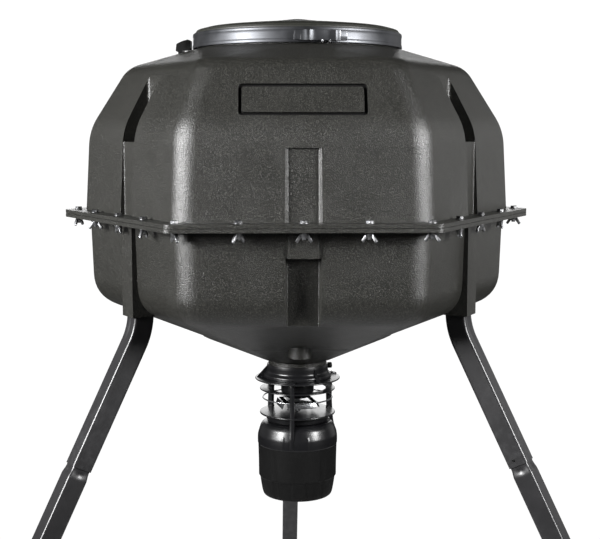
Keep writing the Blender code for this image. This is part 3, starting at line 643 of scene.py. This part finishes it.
# ---- lid, clamp ring and latch
def lid_set():
    piece("lid_cone", turned([
        (0, 1.5251), (0.010, 1.5247), (0.021, 1.5232), (0.057, 1.5184), (0.106, 1.5136), (0.146, 1.5092),
        (0.149, 1.5086), (0.1600, 1.5056), (0.1618, 1.5046), (0.1624, 1.5034), (0.1620, 1.5022),
        (0.1642, 1.5014), (0.1642, 1.4937), (0.1575, 1.4937), (0.1575, 1.5000), (0.145, 1.5050),
        (0, 1.5210)], 144),
        "lid_set", LID, ("lid",), sharp=25)
    piece("lid_seal", turned([
        (0.1580, 1.4934), (0.1635, 1.4934), (0.1642, 1.4928), (0.1642, 1.4914), (0.1635, 1.4908),
        (0.1580, 1.4908)], 144),
        "lid_set", RUBBER, ("lid_gasket",))
    band = softened([
        (0.1649, 1.4996, 0), (0.1672, 1.4996, 0.0012), (0.1678, 1.4962, 0.0014), (0.1671, 1.4930, 0.002),
        (0.1671, 1.4830, 0.002), (0.1680, 1.4805, 0.0014), (0.1681, 1.4768, 0.0012), (0.1664, 1.4768, 0),
        (0.1664, 1.4780, 0), (0.1660, 1.4830, 0), (0.1660, 1.4930, 0), (0.1649, 1.4984, 0)], 4)
    piece("ring_band", turned(band, 180), "lid_set", GUNMETAL, ("clamp_ring",), sharp=50)


def strip(azimuths, steps, section):
    """A solid along the ring: section(azimuth) gives its outline of (radius, height)."""
    loops = []
    for i in range(steps + 1):
        azimuth = azimuths[0] + (azimuths[1] - azimuths[0]) * i / steps
        loops.append([polar(r, azimuth, z) for r, z in section(azimuth)])
    return skin(loops)


def bulge(azimuth, middle, width):
    return math.exp(-((azimuth - middle) / width) ** 2)


def latch():
    pivot_az, link_az = 288.8, 273.7

    def lever_section(azimuth):
        hump = 0.0026 * (bulge(azimuth, pivot_az - 1.6, 1.9) + bulge(azimuth, link_az, 1.9))
        lip = 0.0007 * bulge(azimuth, 266.6, 0.5)
        slim = 0.0010 * (1 - bulge(azimuth, link_az, 3.0)) if azimuth < 271 else 0.0
        outer, inner = 0.1731 + hump + lip, 0.1717
        low, high = 1.4790 + slim, 1.4948 - slim
        return softened([
            (inner, low, 0), (outer, low, 0.0006), (outer, high, 0.0006), (inner, high, 0)], 3)

    piece("lever_plate", strip((266.4, 289.9), 94, lever_section), "lever", GUNMETAL,
          ("latch_lever",), sharp=50)

    link = strip((266.8, 273.0), 20, lambda azimuth: softened(
        rectangle((0.1694, 1.4840), (0.1705, 1.4915), 0.0003), 2))
    piece("link_plate", link, "link", GUNMETAL, ("latch_link",))
    seat = strip((290.4, 294.0), 12, lambda azimuth: softened([
        (0.1687, 1.4800, 0), (0.1703, 1.4800, 0.0006), (0.1712, 1.4860, 0.001), (0.1703, 1.4940, 0.0006),
        (0.1687, 1.4940, 0)], 3))
    piece("latch_seat", seat, "lid_set", GUNMETAL, ("latch_bracket",))
    for name, azimuth, body, node in (
            ("pivot_rivet", pivot_az - 4.2, "lid_set", "latch_pivot_pin"),
            ("link_rivet", link_az + 7.0, "lever", "latch_link_pin")):
        shape = turned([
            (0, 0.0026), (0.0012, 0.0024), (0.0021, 0.0014), (0.0023, 0.0), (0.0014, -0.0004),
            (0.0014, -0.0016), (0, -0.0016)], 20)
        stand = Matrix.Translation(AXIS + polar(0.1722, azimuth, 1.4787)) @ Matrix.Rotation(math.pi, 4, "X")
        piece(name, shape, body, ZINC, (node,), place=stand)


def tether_lug():
    outline = softened([
        (0.1715, 1.4762, 0.001), (0.1715, 1.4915, 0.0015), (0.1760, 1.4930, 0.0015), (0.1850, 1.4905, 0.002),
        (0.1945, 1.4860, 0.002), (0.1955, 1.4745, 0.0008), (0.1915, 1.4735, 0.001), (0.1915, 1.4692, 0.0005),
        (0.1855, 1.4708, 0.0005), (0.1835, 1.4762, 0.001)], 3)
    slices = []
    ribs = 9
    middle = Vector((0.1835, 1.4815))
    for i in range(ribs * 4 + 1):
        across = -0.0110 + 0.0220 * i / (ribs * 4)
        shrink = 0.95 if i % 4 in (0, 1) else 1.0
        slices.append([
            Vector((middle.x + (r - middle.x) * shrink, across, middle.y + (z - middle.y) * (
                shrink if z > 1.4775 else 1.0))) for r, z in outline])
    block = moved(skin(slices), turn_to(176.0))
    piece("tether_block", block, "stand", MATTE, ("lid_tether_lug",))


# ---- legs
TUBE_CORNER = 0.0034
TUBE_WALL = 0.0015
LEG_SLOPE = math.radians(27.47)           # from the upright
KNEE = 1.0473                             # height where the upright and the sloping line of a leg cross
BEND = 0.106                              # radius of the bend there
JOINTS = (0.845, 0.437, 0.0185)           # heights where one tube ends and the next shows, and the last end


def on_slope(z):
    """A station (radius, height, tilt) on the sloping line of a leg."""
    return LEG_RADIUS + (KNEE - z) * math.tan(LEG_SLOPE), z, LEG_SLOPE


def down(z, distance):
    """The station a distance further down the slope than this height."""
    return on_slope(z - distance * math.cos(LEG_SLOPE))


def square_points(size, corner):
    """(out, across, face, position on the face) round a square section with round corners."""
    half = size / 2
    flat = half - corner
    points = []
    for face in range(4):
        turn = math.pi / 2 * face
        for k in range(9):
            run = -flat + 2 * flat * k / 8
            points.append((turn, half, run, face))
        for k in range(1, 4):
            angle = math.pi / 8 * k
            points.append((turn, flat + corner * math.cos(angle), flat + corner * math.sin(angle), None))
    out = []
    for turn, normal, run, face in points:
        x = normal * math.cos(turn) - run * math.sin(turn)
        y = normal * math.sin(turn) + run * math.cos(turn)
        out.append((x, y, face, run))
    return out


def tube_loop(station, size, dent=None, corner=TUBE_CORNER):
    radius, height, tilt = station
    loop = []
    for x, y, face, run in square_points(size, corner):
        depth = dent(face, run) if dent and face is not None else 0.0
        turn = math.pi / 2 * (face or 0)
        out = x - depth * math.cos(turn)
        across = y - depth * math.sin(turn)
        loop.append(Vector((radius + out * math.cos(tilt), across, height + out * math.sin(tilt))))
    return loop


def tube_piece(name, rows, azimuth, node):
    """A hollow tube from rows of (station, size, dent)."""
    outside = [tube_loop(station, size, dent) for station, size, dent in rows]
    inside = [
        tube_loop(station, size - 2 * TUBE_WALL, dent, TUBE_CORNER - 0.0012) for station, size, dent in rows]
    shape = moved(skin(outside + inside[::-1], ring=True), turn_to(azimuth))
    piece(name, shape, "stand", LEG_PAINT, (node,), sharp=50)


def hole_shade_disc(name, station, azimuth, face, size, shift):
    """A screw or peg hole on a tube face, drawn as a thin rimmed disc whose matte black is painted shade for
    the hole's dark inside.
    """
    radius, height, tilt = station
    out = Vector((math.cos(tilt), 0, math.sin(tilt)))
    side = Vector((0, 1, 0))
    normal = -out if face == "in" else -side
    across = side if face == "in" else out
    run = out.cross(side)
    centre = Vector((radius, 0, height)) + normal * (TUBE / 2) + across * shift
    stand = Matrix((
        (across.x, run.x, normal.x, centre.x), (across.y, run.y, normal.y, centre.y),
        (across.z, run.z, normal.z, centre.z), (0, 0, 0, 1)))
    shape = turned([
        (0, 0.00005), (size * 0.40, 0.00005), (size * 0.46, 0.0006), (size * 0.60, 0.0004),
        (size * 0.62, -0.0006), (0, -0.0006)], 20)
    # the black disc is painted shade where the hole's inside is dark
    piece(name, shape, "stand", MATTE, place=AT_AXIS @ turn_to(azimuth) @ stand)


def held(value):
    return min(max(value, 0.0), 1.0)


def crease(z):
    """The dent down the outer face near the bend, at this height."""
    strength = held((z - 1.000) / 0.045) * held((1.085 - z) / 0.02)

    def dent(face, run):
        return 0.0022 * strength * max(0.0, 1 - abs(run) / 0.0075) if face == 0 else 0.0
    return dent


def dimple(s):
    """A press mark on every face, 8.5 mm below where a tube comes out of the one above."""
    def dent(face, run):
        return 0.0015 * math.exp(-((s - 0.0085) ** 2 + run ** 2) / (2 * 0.0032 ** 2))
    return dent


def upper_tube(place, azimuth):
    reach = BEND * math.tan(LEG_SLOPE / 2)
    rows = [((LEG_RADIUS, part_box(f"leg_upper_{place}")[1].z, 0.0), TUBE, None)]
    for k in range(6):
        z = 1.10 - 0.01 * k * (1.10 - KNEE - reach) / 0.06
        rows.append(((LEG_RADIUS, z, 0.0), TUBE, crease(z)))
    for k in range(17):
        tilt = LEG_SLOPE * k / 16
        z = KNEE + reach - BEND * math.sin(tilt)
        rows.append(((LEG_RADIUS + BEND * (1 - math.cos(tilt)), z, tilt), TUBE, crease(z)))
    for z in (1.000, 0.99):
        if z < rows[-1][0][1] - 0.002:
            rows.append((on_slope(z), TUBE, crease(z)))
    rows.append((down(JOINTS[0], 0.0), TUBE, None))
    tube_piece(f"leg_{place}_top_tube", rows, azimuth, f"leg_upper_{place}")
    hole_shade_disc(f"leg_{place}_screw", down(JOINTS[0], -0.010), azimuth, "side", 0.004, -0.003)


def straight_tube(part, place, azimuth, top, bottom):
    """A tube whose narrowed upper end goes into the tube above it."""
    rows = [(down(top, -0.020), TUBE - 0.0036, None)]
    for k in range(20):
        s = -0.001 + 0.0014 * k
        grow = held((s - 0.003) / 0.014)
        grow = grow * grow * (3 - 2 * grow)
        rows.append((down(top, s), TUBE - 0.0030 * (1 - grow), dimple(s)))
    rows.append((down(top, (top - bottom) / math.cos(LEG_SLOPE)), TUBE, None))
    tube_piece(f"leg_{place}_{part}_tube", rows, azimuth, f"leg_{part}_{place}")


def legs():
    for place, azimuth in LEG_AZIMUTHS.items():
        upper_tube(place, azimuth)
        straight_tube("middle", place, azimuth, JOINTS[0], JOINTS[1])
        hole_shade_disc(f"leg_{place}_peg_hole", down(JOINTS[1], -0.020), azimuth, "in", 0.009, 0.0)
        hole_shade_disc(f"leg_{place}_screw_low", down(JOINTS[1], -0.010), azimuth, "side", 0.004, -0.003)
        straight_tube("lower", place, azimuth, JOINTS[1], JOINTS[2])
        foot(place, azimuth)


def foot(place, azimuth):
    """A round pad under a sleeve that has two grooves round it."""
    spot = polar(on_slope(0.0)[0], azimuth)
    pad = moved(turned([
        (0, 0.0), (0.0235, 0.0), (0.0255, 0.0012), (0.0260, 0.0030), (0.0258, 0.0062), (0.0240, 0.0080),
        (0.0150, 0.0105), (0, 0.0110)], 64), Matrix.Translation(spot))
    rows = [
        (0.0450, 0.0044), (0.0442, 0.0060), (0.0360, 0.0060), (0.0352, 0.0050), (0.0330, 0.0050),
        (0.0322, 0.0060), (0.0250, 0.0060), (0.0242, 0.0050), (0.0220, 0.0050), (0.0212, 0.0060),
        (0.0158, 0.0060)]
    outside = [tube_loop(on_slope(z), TUBE + extra, None, 0.005) for z, extra in rows]
    inside = [tube_loop(on_slope(z), TUBE + 0.0008, None, 0.0036) for z in (0.0180, 0.0450)]
    shape = merged(pad, moved(skin(inside + outside), turn_to(azimuth)))
    piece(f"foot_{place}", shape, "stand", RUBBER, (f"foot_cap_{place}",), sharp=45)


# ---- feeder unit
def collar():
    outline = softened([
        (0.0482, 0.9650, 0.0004), (0.0502, 0.9650, 0.0008), (0.0507, 0.9600, 0.001), (0.0507, 0.9520, 0.002),
        (0.0557, 0.9470, 0.0012), (0.0557, 0.9420, 0.0006), (0.0300, 0.9420, 0), (0.0300, 0.9460, 0),
        (0.0482, 0.9460, 0)], 4)
    piece("collar_body", turned(outline, 96), "unit", GLOSS, ("collar_ring",))


def thumb_screw():
    def knurled(angle, r, z):
        return r * (1 + (0.035 * math.cos(math.radians(angle) * 12) if r > 0.004 else 0))

    knob = turned([
        (0, 0.0), (0.0026, 0.0), (0.0026, 0.0014), (0.0044, 0.0018), (0.0048, 0.0026), (0.0048, 0.0072),
        (0.0044, 0.0080), (0.0034, 0.0084), (0.0030, 0.0080), (0, 0.0080)], 48, knurled)
    knob_at = centre_of("collar_lock_knob")
    direction = knob_at - AXIS
    direction.z = 0
    direction.normalize()
    spot = Vector((AXIS.x, AXIS.y, knob_at.z)) + direction * 0.0510
    stand = Matrix.Translation(spot) @ direction.to_track_quat("Z", "X").to_matrix().to_4x4()
    piece("thumb_screw", knob, "knob", MATTE, ("collar_lock_knob",), place=stand)


def funnel():
    outline = softened([
        (0.0470, 0.9500, 0), (0.0470, 0.9464, 0), (0.0296, 0.9464, 0), (0.0279, 0.9440, 0.001),
        (0.0273, 0.9350, 0), (0.0273, 0.9165, 0.002), (0.0195, 0.9085, 0.001), (0.0193, 0.9075, 0),
        (0.0175, 0.9075, 0), (0.0250, 0.9180, 0.001), (0.0250, 0.9450, 0), (0.0440, 0.9500, 0)], 4)
    piece("funnel_tube", turned(outline, 72), "unit", GLOSS, ("drop_funnel",))


def disc_shape(inner, outer, low, high, steps=96):
    edge = (high - low) / 2
    return turned(softened([
        (inner, low, 0), (outer, low, edge), (outer, high, edge), (inner, high, 0)], 4), steps)


def fin_shape(azimuth):
    """An upright guard post: a flat plate whose foot tapers down over the dome."""
    outline = softened([
        (0.0440, 0.9400, 0), (0.0605, 0.9400, 0), (0.0622, 0.9350, 0.002), (0.0610, 0.9050, 0.004),
        (0.0625, 0.8760, 0.004), (0.0640, 0.8620, 0.004), (0.0668, 0.8500, 0.003), (0.0676, 0.8340, 0.001),
        (0.0666, 0.8330, 0), (0.0664, 0.8420, 0), (0.0652, 0.8516, 0), (0.0634, 0.8568, 0),
        (0.0618, 0.8624, 0), (0.0567, 0.8676, 0), (0.0515, 0.8695, 0), (0.0515, 0.8800, 0.001),
        (0.0540, 0.8860, 0.002), (0.0530, 0.9180, 0.003), (0.0480, 0.9310, 0.003)], 4)
    loops = []
    for across, shrink in ((-0.0034, 0.0004), (-0.0028, 0.0), (0.0028, 0.0), (0.0034, 0.0004)):
        loops.append([Vector((r - shrink, across, z)) for r, z in outline])
    return moved(skin(loops), turn_to(azimuth))


def guard():
    shapes = [disc_shape(0.0283, 0.0705, 0.9393, 0.9417)]
    shapes.append(disc_shape(0.0480, 0.0625, 0.9217, 0.9237))
    shapes.append(disc_shape(0.0050, 0.0627, 0.8808, 0.8838))
    for azimuth in FIN_AZIMUTHS:
        shapes.append(fin_shape(azimuth))
        ledge = softened([
            (0.0550, -0.0055, 0.001), (0.0690, -0.0045, 0.001), (0.0690, 0.0045, 0.001),
            (0.0550, 0.0055, 0.001)], 3)
        shapes.append(moved(extruded(ledge, 0.9412, 0.9440), turn_to(azimuth)))
        gusset = [
            [Vector((r, across, z)) for r, z in ((0.0505, 0.9610), (0.0680, 0.9415), (0.0505, 0.9415))]
            for across in (-0.0009, 0.0009)]
        shapes.append(moved(skin(gusset), turn_to(azimuth + 42)))
    piece("guard_body", merged(*shapes), "unit", GLOSS, ("guard_cage",))
    wire = [(0.0575 + x, 0.9074 + z) for x, z in circle(0.0012, 12)]
    piece("guard_wire", turned(wire, 120), "unit", ZINC, ("guard_hoop",))
    for number, azimuth in enumerate(FIN_AZIMUTHS, 1):
        top = turned([
            (0, 0.0030), (0.0012, 0.0029), (0.0030, 0.0022), (0.0039, 0.0008), (0.0039, 0.0), (0, 0.0)], 24)
        blade_slot = plate(rectangle((-0.0034, -0.0005), (0.0034, 0.0005)), 0.0026, 0.0033)
        stand = Matrix.Translation(AXIS + polar(0.0615, azimuth, 0.9424)) @ turn_to(azimuth * 3.7)
        piece(f"guard_screw_head_{number}", merged(top, blade_slot), "unit", MATTE,
              (f"guard_screw_{number}",), place=stand)


def spinner():
    edge, radius, drop = 0.0290, 0.0385, 0.0085
    outline = [(max(min(x, edge), -edge), max(min(y, edge), -edge)) for x, y in circle(radius, 120)]
    rim = [Vector((x, y, 0.9022)) for x, y in outline]
    low = [Vector((x, y, 0.9010)) for x, y in outline]
    shapes = [skin([low, rim])]
    reach = math.sqrt(radius ** 2 - edge ** 2)
    for side in range(4):
        lip = softened([
            (edge - 0.0100, 0.9022, 0), (edge, 0.9022, 0.0022), (edge + 0.0030, 0.9010 - drop, 0),
            (edge + 0.0018, 0.9010 - drop, 0), (edge - 0.0012, 0.9010, 0.0022),
            (edge - 0.0100, 0.9010, 0)], 5)
        loops = [[Vector((r, across, z)) for r, z in lip] for across in (-reach + 0.001, reach - 0.001)]
        shapes.append(moved(skin(loops), turn_to(90 * side)))
    disc = moved(merged(*shapes), turn_to(12))
    piece("spinner_disc", disc, "spinner", ZINC, ("spinner_plate",), bevel=0.0003)
    hub = softened([
        (0.0021, 0.8880, 0), (0.0060, 0.8880, 0.0006), (0.0060, 0.8970, 0.0006), (0.0100, 0.8985, 0.0006),
        (0.0100, 0.9007, 0.0004), (0.0021, 0.9007, 0)], 3)
    piece("spinner_boss", turned(hub, 48), "spinner", MATTE, ("spinner_hub",))
    nut = skin([[Vector((x, y, z)) for x, y in circle(r, 6)] for r, z in (
        (0.0042, 0.9023), (0.0046, 0.9027), (0.0046, 0.9046), (0.0042, 0.9050))])
    piece("spinner_lock_nut", nut, "spinner", ZINC, ("spinner_nut",))


def motor():
    shape = softened([
        (0, 0.8425, 0), (0.0165, 0.8425, 0.001), (0.0175, 0.8440, 0.001), (0.0175, 0.8755, 0.001),
        (0.0160, 0.8770, 0.001), (0.0060, 0.8772, 0), (0.0060, 0.8798, 0.0004), (0.0018, 0.8800, 0),
        (0.0018, 0.9055, 0.0003), (0.0014, 0.9060, 0), (0, 0.9060, 0)], 3)
    piece("motor_can", turned(shape, 48), "unit", ZINC, ("motor",))
    shelf = softened([
        (0.0180, 0.8750, 0.0004), (0.0470, 0.8750, 0.0006), (0.0470, 0.8725, 0.0006),
        (0.0300, 0.8725, 0.001), (0.0280, 0.8715, 0.0005), (0.0180, 0.8715, 0.0004)], 3)
    piece("motor_shelf", turned(shelf, 64), "unit", MATTE, ("motor_bracket",))


def housing():
    neck = softened([
        (0.0475, 0.8803, 0), (0.0500, 0.8803, 0.0006), (0.0511, 0.8785, 0.001), (0.0511, 0.8710, 0.001),
        (0.0490, 0.8684, 0.0005), (0.0475, 0.8684, 0)], 4)
    piece("neck_ring", turned(neck, 96), "unit", GLOSS, ("housing_neck_ring",))
    rib_azimuths = (247, 283, 7, 43, 127, 163)

    def ribbed(angle, r, z):
        if r < 0.0640 or z < 0.8315 or z > 0.8600:
            return r
        lift = sum(math.exp(-((angle - a) / 1.1) ** 2) for a in rib_azimuths)
        return r + 0.0009 * lift
    dome = softened([
        (0.0480, 0.8681, 0), (0.0520, 0.8681, 0.002), (0.0562, 0.8667, 0.002), (0.0612, 0.8615, 0.003),
        (0.0644, 0.8515, 0.003), (0.0660, 0.8460, 0.002), (0.0664, 0.8390, 0.002), (0.0663, 0.8315, 0.0005),
        (0.0656, 0.8300, 0), (0.0636, 0.8300, 0), (0.0638, 0.8450, 0), (0.0580, 0.8600, 0),
        (0.0530, 0.8652, 0), (0.0480, 0.8655, 0)], 4)
    piece("dome_cover", turned(dome, 240, ribbed), "unit", GLOSS, ("housing_dome",), sharp=60)
    seal = turned(softened(rectangle((0.0600, 0.8325), (0.0626, 0.8302), 0.0005), 3), 96)
    piece("dome_seal", seal, "unit", RUBBER, ("housing_seal",))


def cup():
    flutes = (232, 308, 52, 128)

    def fluted(angle, r, z):
        if r < 0.055 or z > 0.826:
            return r
        dip = sum(max(0.0, 1 - ((angle - a) / 5.0) ** 2) ** 0.5 for a in flutes)
        grip = 0.0
        width = 9.5 + 3.0 * (0.7760 - z) / 0.028
        if 0.7495 < z < 0.7760:
            for middle in (270, 30, 150):
                near = abs(angle - middle)
                if near < width:
                    grip = 0.0014 * min(1.0, (width - near) / 1.2)
        return r - 0.0011 * dip * min(max((0.824 - z) / 0.01, 0.0), 1.0) + grip
    outer = softened([
        (0.0656, 0.8297, 0), (0.0653, 0.8200, 0), (0.0651, 0.8120, 0), (0.0648, 0.8000, 0),
        (0.0647, 0.7900, 0), (0.0646, 0.7790, 0.0006), (0.0646, 0.7765, 0.0006), (0.0630, 0.7757, 0.0004),
        (0.0623, 0.7720, 0),
        (0.0613, 0.7650, 0), (0.0602, 0.7580, 0), (0.0586, 0.7495, 0.002), (0.0566, 0.7437, 0.003),
        (0.0520, 0.7426, 0.002), (0.0300, 0.7425, 0), (0, 0.7425, 0)], 4)
    inner = [
        (0, 0.7450), (0.0180, 0.7450), (0.0180, 0.7537), (0.0205, 0.7537), (0.0205, 0.7450), (0.0530, 0.7450),
        (0.0556, 0.7485), (0.0588, 0.7670), (0.0600, 0.7775), (0.0625, 0.8297)]
    cover = turned(outer + inner, 240, fluted)
    piece("cup_cover", cover, "cup", MATTE, ("housing_cup",), sharp=45)


def battery():
    low, high = box_from_axis("battery")
    body_top = high.z - 0.003

    def layer(inset, bottom, top):
        start, end = (low.x + inset, low.y + inset), (high.x - inset, high.y - inset)
        return plate(rectangle(start, end, 0.003), bottom, top)

    case = merged(
        layer(0.0, low.z, body_top - 0.010), layer(0.0012, body_top - 0.0101, body_top - 0.0088),
        layer(0.0, body_top - 0.0089, body_top))
    piece("battery_body", case, "cup", CASE, ("battery",), bevel=0.0008)
    for name, x in (("left", -0.030), ("right", 0.030)):
        tab = plate(rectangle((x - 0.003, -0.002), (x + 0.003, 0.002), 0.0008), body_top - 0.0005, high.z)
        piece(f"battery_terminal_{name}", tab, "cup", BRASS, bevel=0.0003)
        spring_contact(name)


def spring_contact(name):
    """A leaf bent down to meet a battery terminal."""
    node = f"battery_contact_{name}"
    low, high = box_from_axis(node)
    arch = softened([
        (-0.0040, high.z, 0), (-0.0040, high.z - 0.001, 0), (-0.0024, low.z + 0.0008, 0.002),
        (0.0024, low.z + 0.0008, 0.002), (0.0040, high.z - 0.001, 0), (0.0040, high.z, 0),
        (0.0030, high.z, 0), (0.0018, low.z + 0.0018, 0.0015), (-0.0018, low.z + 0.0018, 0.0015),
        (-0.0030, high.z, 0)], 4)
    middle = ((low + high) / 2).x
    loops = [[Vector((middle + x, y, z)) for x, z in arch] for y in (-0.003, 0.003)]
    piece(f"spring_contact_{name}", skin(loops), "unit", BRASS, (node,))


def controls():
    """The panel inside the dome, with its display and three buttons."""
    under, upper = (corner.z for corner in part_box("control_panel"))
    disc = solid("panel", turned(softened([
        (0, under, 0), (0.0580, under, 0.0008), (0.0595, under + 0.0015, 0.0006), (0.0595, upper, 0.0004),
        (0, upper, 0)], 3), 96))
    w_low, w_high = box_from_axis("display_window")
    recess = rectangle((w_low.x - 0.0006, w_low.y - 0.0005), (w_high.x + 0.0006, w_high.y + 0.0005), 0.001)
    steps = [("DIFFERENCE", solid("recess", plate(recess, under - 0.003, under + 0.003)))]
    for key in ("mode", "up", "down"):
        node = f"button_{key}"
        middle = centre_of(node) - AXIS
        well = extruded(circle(0.0042, 40, middle.xy), under - 0.003, under + 0.0043)
        steps.append(("DIFFERENCE", solid("well", well)))
        low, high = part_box(node)
        cap = turned([
            (0, low.z + 0.0003), (0.0022, low.z + 0.0002), (0.0032, low.z), (0.0038, low.z + 0.0006),
            (0.0038, high.z), (0, high.z)], 40)
        cap = moved(cap, Matrix.Translation((middle.x, middle.y, 0)))
        piece(f"key_{key}", cap, f"{key}_key", BUTTON, (node,))
    carve(disc, steps)
    piece("panel_plate", disc, "unit", MATTE, ("control_panel",), bevel=0.0003)
    pane = plate(rectangle(w_low.xy, w_high.xy, 0.001), w_low.z, w_high.z)
    piece("display_pane", pane, "unit", WINDOW, ("display_window",), bevel=0.0003)


# ---- floor, light and camera
def stage_floor():
    look = Nodes("floor_look")
    look.feed("Base Color", look.mixed(look.noise(3.0), (0.34, 0.34, 0.34), (0.38, 0.38, 0.38)))
    look.shader.inputs["Roughness"].default_value = 0.9
    bm = bmesh.new()
    bmesh.ops.create_circle(bm, cap_ends=True, segments=128, radius=1.55)
    floor = link_mesh("floor", mesh_of("floor", bm), Matrix.Translation((0, 0, -0.0005)))
    floor.data.materials.append(look.material)


def backdrop(ambient=0.022, seen=1.05):
    """A world that the camera sees as white, and that lights the feeder only a little."""
    world = bpy.data.worlds.new("studio")
    world.use_nodes = True
    tree = world.node_tree
    path = tree.nodes.new("ShaderNodeLightPath")
    blend = tree.nodes.new("ShaderNodeMixShader")
    tree.links.new(path.outputs["Is Camera Ray"], blend.inputs[0])
    for socket, node, strength in (
            (1, tree.nodes["Background"], ambient), (2, tree.nodes.new("ShaderNodeBackground"), seen)):
        node.inputs["Color"].default_value = (1, 1, 1, 1)
        node.inputs["Strength"].default_value = strength
        tree.links.new(node.outputs[0], blend.inputs[socket])
    tree.links.new(blend.outputs[0], tree.nodes["World Output"].inputs["Surface"])
    bpy.context.scene.world = world


def placed(name, data, spot):
    obj = bpy.data.objects.new(name, data)
    bpy.context.scene.collection.objects.link(obj)
    obj.location = spot
    return obj


def lamps():
    target = AXIS + Vector((0, 0, 1.22))
    for name, azimuth, distance, height, width, tall, power in (
            ("left_softbox", 211, 2.6, 1.90, 1.20, 0.85, 80),
            ("right_softbox", 328, 2.6, 1.94, 1.05, 0.80, 51),
            ("left_fill", 143, 2.8, 1.5, 1.9, 1.8, 0.6),
            ("right_fill", 37, 2.8, 1.5, 1.9, 1.8, 1.5),
            ("back_fill", 90, 3.2, 1.6, 2.2, 1.6, 9),
            ("front_fill", 268, 4.2, 1.0, 2.6, 1.5, 0.40)):
        light = bpy.data.lights.new(name, "AREA")
        light.shape = "RECTANGLE"
        light.size, light.size_y = width, tall
        light.energy = power
        light.spread = math.radians(90)
        spot = AXIS + polar(distance, azimuth, height)
        lamp = placed(name, light, spot)
        lamp.visible_camera = False
        lamp.rotation_euler = (target - spot).to_track_quat("-Z", "Y").to_euler()
    top = bpy.data.lights.new("overhead", "AREA")
    top.shape, top.size, top.energy = "SQUARE", 2.2, 1
    placed("overhead", top, AXIS + Vector((0.7, -0.2, 3.4)))


def camera():
    """The photo's viewpoint, a little left of the feeder's axis and looking slightly down."""
    lens = bpy.data.cameras.new("camera")
    lens.lens, lens.sensor_width, lens.clip_end = 70.38, 36.0, 200.0
    pitch = math.radians(-6.727)
    heading = Vector((0.0312, 0.9995, 0)).normalized()
    view = Vector((heading.x * math.cos(pitch), heading.y * math.cos(pitch), math.sin(pitch)))
    eye = placed("camera", lens, AXIS + Vector((-0.0556, -1.9178, 1.3466)))
    eye.rotation_euler = view.to_track_quat("-Z", "Y").to_euler()
    bpy.context.scene.camera = eye
    bpy.context.scene.view_settings.view_transform = "Standard"


stage_floor()
backdrop()
lamps()
camera()
upper_shell()
lower_shell()
fasteners()
lid_set()
latch()
tether_lug()
legs()
collar()
thumb_screw()
funnel()
guard()
spinner()
motor()
housing()
cup()
battery()
controls()
